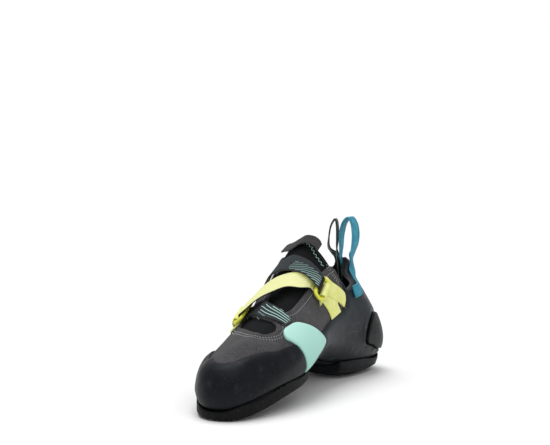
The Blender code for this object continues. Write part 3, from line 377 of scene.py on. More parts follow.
def rowStations(first, final, step):  # rows an even distance apart along the shoe
    rows = np.linspace(0.0, last["rowCount"], last["rowTable"])
    run = np.linalg.norm(np.diff(lastSpots, axis=0), axis=2)
    run = np.concatenate([[0.0], np.cumsum(np.quantile(run, 0.75, axis=1))])
    low, high = np.interp((first, final), rows, run)
    count = max(2, int(round((high - low) / step)) + 1)
    return np.interp(np.linspace(low, high, count), run, rows)


def splitAt(s, q, f, tris, level):  # adds the points where f crosses a level
    side = np.where(f > level + 1e-7, 1, np.where(f < level - 1e-7, -1, 0))
    corners = side[tris]
    crossing = (corners.max(axis=1) > 0) & (corners.min(axis=1) < 0)
    plain = tris[~crossing]
    made = {}
    newS, newQ, newF = list(s), list(q), list(f)

    def between(a, b):
        key = (a, b) if a < b else (b, a)
        if key not in made:
            share = (level - f[key[0]]) / (f[key[1]] - f[key[0]])
            made[key] = len(newS)
            newS.append(s[key[0]] + (s[key[1]] - s[key[0]]) * share)
            newQ.append(q[key[0]] + (q[key[1]] - q[key[0]]) * share)
            newF.append(level)
        return made[key]

    out = []
    for tri in tris[crossing]:
        for wanted in (1, -1):
            ringOf = []
            for k in range(3):
                a, b = int(tri[k]), int(tri[(k + 1) % 3])
                if side[a] in (wanted, 0):
                    ringOf.append(a)
                if side[a] * side[b] < 0:
                    ringOf.append(between(a, b))
            for k in range(1, len(ringOf) - 1):
                out.append((ringOf[0], ringOf[k], ringOf[k + 1]))
    tris = np.vstack([plain, np.array(out, dtype=int)]) if out else plain
    return np.array(newS), np.array(newQ), np.array(newF), tris


def edgeRise(f, width):
    share = np.clip(f / width, 0, 1)
    return np.sqrt(np.clip(1 - (1 - share) ** 2, 0, 1))


knitShape = {"step": 0.0006, "ribPitch": 0.0022, "ribRise": 0.00030}
knitRun = runOf(lastSpots[:, last["turnTable"] // 2])


def knitRelief(s, q, f, spots):  # ribs run across the shoe
    run = np.interp(s, np.linspace(0, last["rowCount"], last["rowTable"]), knitRun)
    return knitShape["ribRise"] * np.sin(run * 2 * math.pi / knitShape["ribPitch"])


snap = {"near": 0.3, "farthest": 0.6, "kept": 2.2}  # steps of the grid


def drawnToEdge(s, q, f, shape, step, rows, turns):  # points close to the outline move onto it
    def slope(values, axis):
        return np.gradient(values.reshape(shape), axis=axis).ravel()

    gradS, gradQ = slope(f, 0), slope(f, 1)
    steepness = np.maximum(gradS ** 2 + gradQ ** 2, 1e-14)
    moveS, moveQ = -f * gradS / steepness, -f * gradQ / steepness
    near = np.abs(f) < snap["near"] * step
    near &= (np.abs(moveS) < snap["farthest"]) & (np.abs(moveQ) < snap["farthest"])
    s = np.where(near, np.clip(s + moveS * slope(s, 0), rows[0], rows[1]), s)
    q = np.where(near, np.clip(q + moveQ * slope(q, 1), turns[0], turns[1]), q)
    return s, q, np.where(near, 0.0, f)


def quadsOf(shape):
    index = np.arange(shape[0] * shape[1]).reshape(shape)
    return np.stack([index[:-1, :-1], index[1:, :-1], index[1:, 1:], index[:-1, 1:]], -1).reshape(-1, 4)


def thickened(name, outer, inner, faces, material=None):  # two layers, joined along the free edges
    total = len(outer)
    faces = [tuple(face) for face in faces.tolist()]
    edges = {}
    for face in faces:
        for a, b in zip(face, face[1:] + face[:1]):
            if (b, a) in edges:
                del edges[(b, a)]
            else:
                edges[(a, b)] = True
    back = [tuple(k + total for k in face[::-1]) for face in faces]
    rim = [(b, a, a + total, b + total) for a, b in edges]
    return newMesh(name, np.vstack([outer, inner]), faces + back + rim, material)


def panel(name, node, material, rows, turns, step, field, low, high, levels=(), relief=None,
          edge=0.0006, thin=0.45, reliefName=None):
    sList = rowStations(rows[0], rows[1], step)
    count = max(3, int(round((turns[1] - turns[0]) * last["girth"] / step)) + 1)
    shape = (len(sList), count)
    grids = np.meshgrid(sList, np.linspace(turns[0], turns[1], count), indexing="ij")
    s, q = [grid.ravel() for grid in grids]
    f = field(s, q, skin(s, q, (low + high) / 2))
    s, q, f = drawnToEdge(s, q, f, shape, step, rows, turns)
    quads = quadsOf(shape)
    tris = np.vstack([quads[:, [0, 1, 2]], quads[:, [0, 2, 3]]])
    side = 1 - np.abs(1 - np.mod(q, 2.0))  # above the ankle the rows meet, so nothing is made there
    fan = (s >= ankleRows[0]) & (side > np.interp(s, ankleRows, ankleTurns))
    tris = tris[~fan[tris].any(axis=1)]
    tris = tris[(f[tris] > -snap["kept"] * step).any(axis=1)]
    for level in sorted(levels) + [0.0]:
        s, q, f, tris = splitAt(s, q, f, tris, level)
    tris = tris[(f[tris] >= -1e-6).all(axis=1) & (f[tris] > 1e-7).any(axis=1)]
    used = np.unique(tris)
    order = np.full(len(s), -1)
    order[used] = np.arange(len(used))
    s, q, f, tris = s[used], q[used], f[used], order[tris]
    rise = thin + (1 - thin) * edgeRise(f, edge)
    top = low + (high - low) * rise
    raised = relief(s, q, f, skin(s, q, high)) if relief is not None else np.zeros(len(s))
    top = top + raised
    item = thickened(name, skin(s, q, top), skin(s, q, low), tris, material)
    store(item, "edgeGap", np.concatenate([f, f]))
    store(item, "innerSide", np.repeat([0.0, 1.0], len(s)))
    if reliefName:
        store(item, reliefName, np.concatenate([raised, raised]) / (2 * knitShape["ribRise"]) + 0.5)
    runS = np.interp(s, sList, np.arange(len(sList)) * step)
    runQ = (q - turns[0]) * last["girth"]
    storeFollow(item, np.stack([np.tile(runS, 2), np.tile(runQ, 2)], axis=1))
    cleaned(item)
    print(name, "vertices", len(item.data.vertices))
    place(item, node)
    return item


def place(item, node=None):
    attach(item, "root")
    if node:
        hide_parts(node)


def every(*fields):
    def field(s, q, spots):
        return np.minimum.reduce([one(s, q, spots) for one in fields])
    return field


# materials
class Signal:  # a socket that takes arithmetic
    def __init__(self, finish, socket):
        self.finish, self.socket = finish, socket

    def done(self, operation, *values):
        return self.finish.math(operation, *values)

    def __add__(self, other):
        return self.done("ADD", self, other)

    def __sub__(self, other):
        return self.done("SUBTRACT", self, other)

    def __rsub__(self, other):
        return self.done("SUBTRACT", other, self)

    def __mul__(self, other):
        return self.done("MULTIPLY", self, other)


class Finish:
    def __init__(self, name, roughness, fixed=None):
        self.material = bpy.data.materials.new(name)
        self.material.use_nodes = True
        self.tree = self.material.node_tree
        self.shader = self.tree.nodes["Principled BSDF"]
        self.shader.inputs["Roughness"].default_value = roughness
        for key, value in (fixed or {}).items():
            self.shader.inputs[key].default_value = value

    def node(self, kind, settings=None, **values):
        made = self.tree.nodes.new(kind)
        for key, value in (settings or {}).items():
            setattr(made, key, value)
        for key, value in values.items():
            self.feed(made.inputs[key.replace("_", " ")], value)
        return made

    def feed(self, socket, value):
        if isinstance(value, Signal):
            self.tree.links.new(value.socket, socket)
        elif isinstance(value, bpy.types.NodeSocket):
            self.tree.links.new(value, socket)
        else:
            socket.default_value = value

    def math(self, operation, *values):
        made = self.tree.nodes.new("ShaderNodeMath")
        made.operation = operation
        for socket, value in zip(made.inputs, values):
            self.feed(socket, value)
        return Signal(self, made.outputs[0])

    def place(self):
        return self.node("ShaderNodeTexCoord").outputs["Object"]

    def follow(self):  # along and across, in metres
        flat = self.node("ShaderNodeUVMap", {"uv_map": "follow"}).outputs[0]
        parts = self.node("ShaderNodeSeparateXYZ", Vector=flat)
        return Signal(self, parts.outputs[0]), Signal(self, parts.outputs[1])

    def attribute(self, name):
        return Signal(self, self.node("ShaderNodeAttribute", {"attribute_name": name}).outputs["Fac"])

    def noise(self, size, detail=2.0, rough=0.5, stretch=None):
        where = self.place()
        if stretch:
            where = self.node("ShaderNodeMapping", Vector=where, Scale=stretch).outputs[0]
        made = self.node("ShaderNodeTexNoise", Vector=where, Scale=1 / size, Detail=detail, Roughness=rough)
        return Signal(self, made.outputs["Fac"])

    def ramp(self, value, low, high, kind="SMOOTHSTEP"):  # 0 below low, 1 above high
        made = self.node("ShaderNodeMapRange", {"clamp": True, "interpolation_type": kind},
                         Value=value, From_Min=low, From_Max=high)
        return Signal(self, made.outputs[0])

    def mix(self, factor, first, second):
        made = self.node("ShaderNodeMix", {"data_type": "RGBA"})
        self.feed(made.inputs[0], factor)
        for k, value in ((6, first), (7, second)):
            self.feed(made.inputs[k], value if not isinstance(value, tuple) else (*value, 1.0))
        return made.outputs[2]

    def colour(self, value):
        self.feed(self.shader.inputs["Base Color"], value if not isinstance(value, tuple) else (*value, 1.0))

    def rough(self, value):
        self.feed(self.shader.inputs["Roughness"], value)

    def axis(self, number):  # one coordinate of the place, in metres
        return Signal(self, self.node("ShaderNodeSeparateXYZ", Vector=self.place()).outputs[number])

    def within(self, value, low, high):
        return self.math("GREATER_THAN", value, low) * self.math("LESS_THAN", value, high)

    def bump(self, *heights):  # pairs of height signal and depth in millimetres
        normal = None
        for height, depth in heights:
            made = self.node("ShaderNodeBump", Height=height, Distance=depth * millimetre)
            if normal is not None:
                self.feed(made.inputs["Normal"], normal)
            normal = made.outputs[0]
        self.feed(self.shader.inputs["Normal"], normal)


def tone(*screen):  # screen colour to linear
    return tuple((c / 255 / 12.92) if c <= 10 else ((c / 255 + 0.055) / 1.055) ** 2.4 for c in screen)


liningFrom = (-0.020, -0.018)  # the dark lining also covers the heel tab from here back


def suedeFinish(name, base, dark, light, lining=False):
    one = Finish(name, 0.97, {"Specular IOR Level": 0.15, "Sheen Weight": 0.06, "Sheen Roughness": 0.5})
    base, light, dark = tone(*base), tone(*light), tone(*dark)
    cloud = one.noise(0.016, 3.0, 0.6)
    nap = one.noise(0.0008, 3.0, 0.75)
    fibre = one.noise(0.0004, 2.0, 0.6)
    patchy = one.mix(one.ramp(cloud, 0.35, 0.65), dark, base)
    napped = one.mix(one.ramp(nap, 0.40, 0.66) * 0.65, patchy, light)
    outside = one.mix(one.ramp(fibre, 0.52, 0.70) * 0.35, napped, light)
    if lining:  # dark lining on the inner face and round the heel tab
        inner = one.ramp(one.attribute("innerSide"), 0.3, 0.7)
        lined = one.math("MAXIMUM", inner, one.ramp(one.axis(1), *liningFrom))
        outside = one.mix(lined, outside, one.mix(fibre, tone(18, 18, 19), tone(34, 35, 36)))
    one.colour(outside)
    one.bump((nap, 0.30), (fibre, 0.14))
    return one.material


def rubberFinish(name, base, light, dark, rough, smudge=0.020, fine=0.15, streaks=None, litAbove=None):
    one = Finish(name, rough, {"Specular IOR Level": 0.14})
    base, light, dark = tone(*base), tone(*light), tone(*dark)
    cloud = one.noise(smudge, 4.0, 0.6)
    dust = one.noise(0.0016, 3.0, 0.65)
    speck = one.ramp(one.noise(0.0008, 1.0), 0.74, 0.79)
    body = one.mix(one.ramp(cloud, 0.38, 0.68), dark, base)
    body = one.mix(one.ramp(one.noise(smudge * 0.45, 5.0, 0.65), 0.52, 0.80) * 0.6, body, light)
    if streaks:  # pale streaks drawn out along one way: painted highlights along wrinkles of the rubber
        wrinkleHighlight = one.noise(0.010, 4.0, 0.6, stretch=streaks)
        body = one.mix(one.ramp(wrinkleHighlight, 0.60, 0.74) * 0.55, body, light)
    if litAbove:  # height from which the rubber is painted lighter: a painted highlight on the upper part, where light falls from above
        body = one.mix(one.ramp(one.axis(2) + (cloud - 0.5) * 0.03, *litAbove) * 0.30, body, light)
    one.colour(one.mix(speck * 0.30, body, tone(150, 155, 158)))
    one.rough(cloud * 0.22 + dust * 0.12 + (rough - 0.17))
    one.bump((dust, fine), (one.noise(smudge * 0.8, 2.0), 0.35))
    return one.material


def mintFinish():
    one = Finish("mintRubber", 0.6)
    # painted shade: the band is darker towards its bottom and lighter towards its top
    body = one.mix(one.ramp(one.axis(2), 0.020, 0.060), tone(158, 214, 200), tone(188, 236, 224))
    one.colour(one.mix(one.noise(0.012, 3.0) * 0.30, body, tone(172, 224, 211)))
    one.bump((one.noise(0.0009, 3.0), 0.06))
    return one.material


def weaveHeight(one, along, across, pitch):  # plain weave from two crossed waves
    u = one.math("SINE", along * (2 * math.pi / pitch))
    v = one.math("SINE", across * (2 * math.pi / pitch))
    return (u * v) * 0.5 + 0.5


def webbingFinish(name, base, dark, light, pitch=0.0010, rough=0.75, lines=(), lineTone=None):
    one = Finish(name, rough)
    base, light, dark = tone(*base), tone(*light), tone(*dark)
    along, across = one.follow()
    weave = weaveHeight(one, along, across, pitch)
    cloud = one.noise(0.006, 3.0)
    body = one.mix(one.ramp(cloud, 0.35, 0.70), base, light)
    woven = one.mix(weave, one.mix(0.35, body, dark), body)
    for middle, half in lines:  # threads along the tape, in millimetres across it
        near = one.math("ABSOLUTE", across - middle * millimetre)
        clear = one.ramp(near, half * 0.7 * millimetre, half * millimetre)
        woven = one.mix(1 - clear, woven, tone(*lineTone))
    one.colour(woven)
    one.bump((weave, 0.10), (one.noise(0.0006, 2.0), 0.05))
    return one.material


def strapFinish(tailStart):  # grey outside with drawn stripes, pale yellow on the other face
    one = Finish("strapWebbing", 0.8, {"Specular IOR Level": 0.25})
    along, across = one.follow()
    face = one.attribute("faceSide")
    run = one.attribute("runGap")
    weave = weaveHeight(one, along, across, 0.0008)
    lines = 0.0
    for onTail, start, end, firstAcross, lastAcross, width, fade in stripeRows:
        start, end = [onTail * tailStart + spot * millimetre for spot in (start, end)]
        share = one.ramp(run, start, end, "LINEAR")
        middle = (share * (lastAcross - firstAcross) + firstAcross) * millimetre
        near = one.math("ABSOLUTE", across - middle) * (1 / millimetre)
        line = 1 - one.ramp(near, width * 0.35, width * 0.35 + 0.2)
        lines = one.math("MAXIMUM", line * one.within(run, start, end) * fade, lines)
    grey = one.mix(weave, tone(34, 38, 42), tone(56, 61, 66))
    # dark patches where the strap turns round the rings: painted shade
    for onTail, start, end, dark in ringShadePatches:
        start, end = [onTail * tailStart + spot * millimetre for spot in (start, end)]
        grey = one.mix(one.within(run, start, end), grey, tone(*dark))
    dotAlong = run - (tailStart + strapDot[0] * millimetre)
    dotAcross = across - strapDot[1] * millimetre
    far = one.math("SQRT", dotAlong * dotAlong + dotAcross * dotAcross)
    striped = one.mix(lines, grey, tone(188, 234, 222))
    striped = one.mix(1 - one.ramp(far, 0.0008, 0.0012), striped, tone(14, 15, 17))
    yellow = one.mix(weave, tone(232, 234, 160), tone(248, 250, 192))
    one.colour(one.mix(one.ramp(face, 0.4, 0.6), striped, yellow))
    one.bump((weave, 0.10), (lines, 0.12))
    return one.material


def knitFinish():
    one = Finish("knitElastic", 0.95, {"Specular IOR Level": 0.2})
    rib = one.attribute("ribHeight")
    along, across = one.follow()
    stitch = one.math("SINE", across * (2 * math.pi / 0.0009)) * 0.5 + 0.5
    # painted shade in the rib hollows and painted highlight on the rib tops, following the rib height
    ribShaded = one.mix(one.ramp(rib, 0.30, 0.90), tone(6, 6, 7), tone(35, 37, 39))
    one.colour(one.mix(stitch * 0.3, ribShaded, tone(18, 19, 20)))
    one.bump((stitch, 0.12), (one.noise(0.0005, 2.0), 0.08))
    return one.material


def clothFinish(name, first, second, pitch=0.0011, rough=0.92):
    one = Finish(name, rough)
    weave = weaveHeight(one, *one.follow(), pitch)
    one.colour(one.mix(weave, tone(*first), tone(*second)))
    one.bump((weave, 0.12), (one.noise(0.0007, 2.0), 0.08))
    return one.material


def threadFinish(name, base, light):
    one = Finish(name, 0.7)
    one.colour(one.mix(one.noise(0.0006, 2.0), tone(*base), tone(*light)))
    one.bump((one.noise(0.0003, 1.0), 0.04))
    return one.material


def plasticFinish(name, base, light):
    one = Finish(name, 0.38, {"Coat Weight": 0.15})
    one.colour(one.mix(one.noise(0.004, 2.0) * 0.5, tone(*base), tone(*light)))
    one.rough(one.noise(0.003, 3.0) * 0.2 + 0.28)
    one.bump((one.noise(0.0012, 2.0), 0.03))
    return one.material


rubbers = {
    "midsoleBoard": {"base": (30, 30, 32), "light": (40, 40, 42), "dark": (24, 24, 26), "rough": 0.75},
    "toeRubber": {"base": (18, 23, 28), "light": (42, 49, 55), "dark": (10, 13, 17), "rough": 0.46,
                  "fine": 0.18},
    "heelRubber": {"base": (19, 25, 30), "light": (66, 77, 84), "dark": (12, 16, 20), "rough": 0.42,
                   "smudge": 0.026, "streaks": (0.5, 0.35, 2.6), "litAbove": (0.028, 0.058)},
    "patchRubber": {"base": (15, 19, 22), "light": (40, 47, 52), "dark": (9, 12, 14), "rough": 0.46},
    "soleRubber": {"base": (16, 16, 17), "light": (34, 35, 36), "dark": (10, 10, 11), "rough": 0.62,
                   "smudge": 0.012, "fine": 0.25},
    "heelSoleRubber": {"base": (24, 27, 30), "light": (46, 50, 54), "dark": (16, 18, 20), "rough": 0.55,
                       "smudge": 0.012, "fine": 0.25},
}
webbings = {
    "tabYellow": {"base": (240, 242, 142), "dark": (214, 216, 106), "light": (250, 251, 172),
                  "pitch": 0.0007},
    "blueWebbing": {"base": (48, 144, 170), "dark": (24, 92, 116), "light": (74, 168, 190),
                    "lines": ((1.3, 0.30), (8.7, 0.30)), "lineTone": (30, 96, 120)},
    "blackWebbing": {"base": (30, 32, 34), "dark": (18, 19, 20), "light": (42, 45, 47),
                     "lines": ((1.6, 0.35), (4.4, 0.35)), "lineTone": (150, 176, 170)},
}
threads = {
    "paleThread": ((150, 156, 152), (186, 193, 188)),
    "mintThread": ((140, 190, 180), (176, 214, 206)),
    "yellowThread": ((170, 172, 84), (196, 198, 110)),
    # near black for the heel patch pits: painted shade inside the holes
    "pitShade": ((8, 9, 10), (14, 15, 16)),
}
finishes = {
    "suede": suedeFinish("suedeGrey", (70, 68, 70), (54, 53, 55), (100, 98, 100), lining=True),
    "edgeSuede": suedeFinish("suedeEdge", (60, 60, 61), (46, 46, 48), (82, 82, 83)),
    "knit": knitFinish(),
    "footbed": clothFinish("footbedCloth", (48, 48, 50), (70, 70, 72)),
    "mint": mintFinish(),
    "ringYellow": plasticFinish("ringYellow", (224, 224, 52), (240, 240, 100)),
}
finishes.update({name: rubberFinish(name, **values) for name, values in rubbers.items()})
finishes.update({name: webbingFinish(name, **values) for name, values in webbings.items()})
finishes.update({name: threadFinish(name, *tones) for name, tones in threads.items()})
print("finishes made")

# upper
upperShape = {"step": 0.0017, "rollWidth": 0.0034, "rollRise": 0.00035, "grooveDepth": 0.00030,
              "grooveWidth": 0.0007, "plainBelow": 0.035, "plainFade": 0.01}


def openTop(drop=0.0):  # what stays below the collar line and below the dip beside the heel tab
    side = closedField(np.vstack([smoothLine(collarLine, 6), (0.25, 1.6), (-0.32, 1.6)]), up=-drop, sign=-1)
    dip = np.vstack([smoothLine(dipLine[:-2], 6), dipLine[-2:]]) * (last["ball"], last["instep"]) - (0, drop)

    def field(s, q, spots):
        flat = spots[:, [0, 2]]
        front = dipFront * last["length"] - spots[:, 1]
        return np.minimum(side(s, q, spots), np.maximum(-signedGap(flat, dip), front))
    return field


collarField = openTop()
throatField = rawLoopField(bandLoopOf(throatRows), sign=-1)
windowField = loopField(windowLoop, sign=-1)
underField = rawLoopField(bandLoopOf([(s, -w, w) for s, w in underRows]), sign=-1)


def upperRelief(s, q, f, spots):  # turned edges stand a little proud and end in a groove
    share = np.clip(f / upperShape["rollWidth"], 0, 1)
    roll = np.sin(share * math.pi) * upperShape["rollRise"]
    away = (f - upperShape["rollWidth"]) / upperShape["grooveWidth"]
    groove = -upperShape["grooveDepth"] * np.exp(-away ** 2)
    below = np.clip((upperShape["plainBelow"] - spots[:, 2]) / upperShape["plainFade"], 0, 1)
    return (roll + groove) * (1 - below)


panel("suedeUpper", "upper", finishes["suede"], (0.0, 22.0), (0.0, 2.0), upperShape["step"],
      every(collarField, throatField, windowField, underField), -layers["suede"], 0.0,
      levels=(0.0003, 0.0009, 0.0026, 0.0034, 0.0042), relief=upperRelief, edge=0.0012, thin=0.40)

# knit behind the throat and the window
sockEnds = {"rows": (5.2, 13.0), "turns": (0.52, 1.48)}


def boxField(s, q, spots):
    return np.full(len(s), 1.0)


panel("knitSock", "knit_sock", finishes["knit"], sockEnds["rows"], sockEnds["turns"], knitShape["step"],
      boxField, sockOut - layers["knit"], sockOut, relief=knitRelief, reliefName="ribHeight",
      edge=0.0003, thin=1.0)

# footbed and board
underTurns = (-0.75, 0.75)
bedStep = 0.0022
bedField = rawLoopField(bandLoopOf([(s + (0.03 if s < 8 else -0.03), -w + 0.004, w - 0.004)
                                    for s, w in underRows]))
panel("footbed", "insole", finishes["footbed"], (1.3, 15.6), (-0.43, 0.43), bedStep, bedField,
      -layers["suede"] - layers["fit"], -layers["fit"], edge=0.0008, thin=0.6)
boardField = sideField(soleLine, up=-layers["randUnder"] - layers["fit"] / 2)
panel("midsoleBoard", "midsole", finishes["midsoleBoard"], (0.0, 17.8), underTurns, bedStep, boardField,
      randIn, randOut, edge=0.0006, thin=0.8)

# rands
randShape = {"step": 0.0014, "edge": 0.0045, "thin": 0.18, "levels": (0.0005, 0.0014, 0.0028),
             "foldFade": 0.002}
boardAbove = sideField(soleLine, up=-layers["randUnder"] + layers["fit"] / 2, sign=-1)
bandClear = loopField(bandLoop, sign=-1, grow=-layers["fit"])
toeField = every(sideField(toeLineIn, toeLineOut), boardAbove, bandClear)
heelFolds = (  # side lines in shares, sunk depth and reach in millimetres
    (((-0.075, 0.178), (-0.030, 0.176), (0.010, 0.166), (0.060, 0.146)), -0.55, 1.7),
    (((-0.110, 0.215), (-0.070, 0.205), (-0.035, 0.205)), -0.40, 1.8),
    (((-0.150, 0.520), (-0.105, 0.450), (-0.060, 0.405)), 0.35, 2.2),
    (((-0.135, 0.450), (-0.095, 0.400), (-0.060, 0.375)), 0.30, 2.0),
    (((-0.190, 0.380), (-0.135, 0.330), (-0.090, 0.310)), -0.35, 2.6),
    (((-0.045, 0.400), (-0.055, 0.330), (-0.052, 0.260)), 0.45, 2.0),
    (((0.035, 0.180), (0.080, 0.160), (0.120, 0.150)), 1.30, 2.6))
toeFolds = (
    (((-0.770, 0.150), (-0.700, 0.205), (-0.620, 0.250), (-0.560, 0.290)), 0.50, 4.5),
    (((-0.800, 0.200), (-0.740, 0.260), (-0.680, 0.300)), -0.35, 4.0))


def foldRelief(folds):  # soft creases and ridges along side lines
    size = (last["length"], last["instep"])
    curves = [(smoothLine(line, 6) * size, depth, reach) for line, depth, reach in folds]

    def relief(s, q, f, spots):
        rise = np.zeros(len(s))
        for curve, depth, reach in curves:
            gap = gapTo(spots[:, 1:], curve, closed=False)
            rise += depth * millimetre * np.exp(-(gap / (reach * millimetre)) ** 2)
        return rise * np.clip(f / randShape["foldFade"], 0, 1)
    return relief


def rand(name, node, material, rows, field, folds):
    panel(name, node, material, rows, (0.0, 2.0), randShape["step"], field, randIn, randOut,
          levels=randShape["levels"], relief=foldRelief(folds), edge=randShape["edge"],
          thin=randShape["thin"])


rand("toeRand", "toe_rand", finishes["toeRubber"], (0.0, 9.1), toeField, toeFolds)
panel("archBand", "arch_band", finishes["mint"], (4.2, 10.2), (0.2, 0.95), 0.0014,
      every(loopField(bandLoop), boardAbove), randIn, randOut + layers["fit"], levels=(0.0003, 0.0009),
      edge=0.0012, thin=0.5)
heelEnds = ((0.30, 1.2), (0.30, -0.2), (-0.40, -0.2))
heelCurves = [np.vstack([smoothLine(line, 6), heelEnds]) * (last["length"], last["instep"])
              for line in (heelLineIn, heelLineOut)]
toeClear = sideField(toeLineIn, toeLineOut, up=layers["fit"], forward=0.0005, sign=-1)
collarClear = openTop(0.0012)
patchOutline = np.vstack([smoothLine(patchLine[1:-1], 6), patchLine[-1:], patchLine[:1]])
patchField = closedField(patchOutline)


def patchClear(s, q, spots):
    return -patchField(s, q, spots) - layers["fit"]


heelField = every(curveField(heelCurves), boardAbove, toeClear, bandClear, patchClear, collarClear)
rand("heelRand", "heel_rand", finishes["heelRubber"], (6.2, 22.0), heelField, heelFolds)
panel("heelPatch", "heel_patch", finishes["patchRubber"], (12.1, 22.0), (0.0, 2.0), 0.0013, patchField,
      randIn, randOut + layers["patchProud"], levels=(0.0003, 0.0009), edge=0.0010, thin=0.6)
print("rands made")

# soles
soleShape = {"step": 0.0022, "voxel": 0.00055, "sideHalf": 0.08, "levelSteps": 15, "relax": (0.5, 4)}
frontSole = {"rows": (0.0, 0.3, 0.6, 1.0, 1.4, 2.0, 2.7, 3.5, 4.3, 5.1, 5.9, 6.7, 7.4, 7.75),
             "height": 0.205, "proud": 0.0018,
             "levels": ((0.0, 1.2), (1.2, 0.3), (3.0, 0.0), (40.0, 0.0))}
backSole = {"rows": (11.6, 12.0, 12.5, 13.0, 13.5, 14.0, 14.4, 14.8, 15.2, 15.6, 15.9), "height": 0.150,
            "proud": 0.0014,
            "levels": ((0.0, 5.6), (2.0, 3.6), (5.0, 1.8), (9.0, 0.5), (14.0, 0.0), (40.0, 0.0))}


def crossing(height, s, innerSide, lift):
    turns = np.linspace(0.0, 1.0, 161) if innerSide else np.linspace(2.0, 1.0, 161)
    points = skin(np.full(turns.shape, s), turns, lift)
    k = int(np.argmax(points[:, 2] > height))
    if k == 0:
        return None
    a, b = points[k - 1], points[k]
    return (a + (b - a) * (height - a[2]) / (b[2] - a[2]))[:2]


def blockOf(name, rings):  # closed block from rings of equal count, ends capped
    count = len(rings[0])
    verts = [tuple(p) for ringOf in rings for p in ringOf]
    faces = [list(range(count))[::-1], [(len(rings) - 1) * count + k for k in range(count)]]
    for level in range(len(rings) - 1):
        a = level * count
        ahead = [(k + 1) % count for k in range(count)]
        faces += [[a + k, a + n, a + count + n, a + count + k] for k, n in enumerate(ahead)]
    item = newMesh(name, verts, faces, smooth=False)
    shape = bmesh.new()
    shape.from_mesh(item.data)
    bmesh.ops.triangulate(shape, faces=shape.faces)
    shape.to_mesh(item.data)
    shape.free()
    return cleaned(item, 0.0000001)


def planRings(sole):  # the cut edge of a sole seen from above, drawn in at the low levels
    pairs = [(crossing(sole["height"] * last["instep"], s, True, sole["proud"]),
              crossing(sole["height"] * last["instep"], s, False, sole["proud"])) for s in sole["rows"]]
    pairs = [pair for pair in pairs if pair[0] is not None and pair[1] is not None]
    inner = smoothLine([pair[0] for pair in pairs], 5)
    outer = smoothLine([pair[1] for pair in pairs], 5)
    middle = (inner + outer) / 2
    half = np.linalg.norm(inner - outer, axis=1, keepdims=True) / 2
    away = middle[:, 1] - middle[:, 1].mean()
    span = np.ptp(middle[:, 1]) / 2
    heights, insets = np.array(sole["levels"]).T
    rings = []
    for height in np.concatenate([np.linspace(0.0, heights[-2], soleShape["levelSteps"]), heights[-1:]]):
        draw = np.interp(height, heights, insets) * millimetre
        share = np.clip(1 - draw / half, 0.1, 1.0)
        back = np.stack([np.zeros(len(away)), away * draw / span], axis=1)
        edges = [middle + (edge - middle) * share - back for edge in (inner, outer)]
        flat = np.vstack([edges[0], edges[1][::-1]])
        rings.append(np.column_stack([flat, np.full(len(flat), height * millimetre)]))
    return rings


def baked(item):  # applies the modifiers
    mesh = bpy.data.meshes.new_from_object(item.evaluated_get(bpy.context.evaluated_depsgraph_get()))
    item.modifiers.clear()
    item.data = mesh
    return item


def shell(name, rows, turns, step, low, high):
    qList = np.linspace(turns[0], turns[1], int((turns[1] - turns[0]) * last["girth"] / step))
    s, q = np.meshgrid(rowStations(rows[0], rows[1], step), qList, indexing="ij")
    quads = quadsOf(s.shape)
    s, q = s.ravel(), q.ravel()
    return cleaned(thickened(name, skin(s, q, high), skin(s, q, low), quads))


def soleFrom(name, node, material, rows, sole):
    item = shell(name, rows, underTurns, soleShape["step"], soleIn, soleOut)
    plan = blockOf(name + "Plan", planRings(sole))
    side = blockOf(name + "Side", [[(x, y, z) for y, z in profile(soleLine)]
                                   for x in (-soleShape["sideHalf"], soleShape["sideHalf"])])
    for tool in (plan, side):
        modifier = item.modifiers.new(tool.name, "BOOLEAN")
        modifier.operation = "INTERSECT"
        modifier.solver = "EXACT"
        modifier.object = tool
    remesh = item.modifiers.new("remesh", "REMESH")
    remesh.mode = "VOXEL"
    remesh.voxel_size = soleShape["voxel"]
    remesh.use_smooth_shade = True
    relax = item.modifiers.new("relax", "SMOOTH")
    relax.factor, relax.iterations = soleShape["relax"]
    baked(item)
    for tool in (plan, side):
        bpy.data.objects.remove(tool, do_unlink=True)
    for vert in item.data.vertices:
        vert.co.z = max(vert.co.z, 0.0)
    shade(item)
    setMaterial(item, material)
    print(name, "vertices", len(item.data.vertices))
    place(item, node)
    return item


soleFrom("forefootSole", "outsole_forefoot", finishes["soleRubber"], (0.0, 9.1), frontSole)
soleFrom("heelSole", "heel_sole", finishes["heelSoleRubber"], (10.2, 17.8), backSole)
print("soles made")


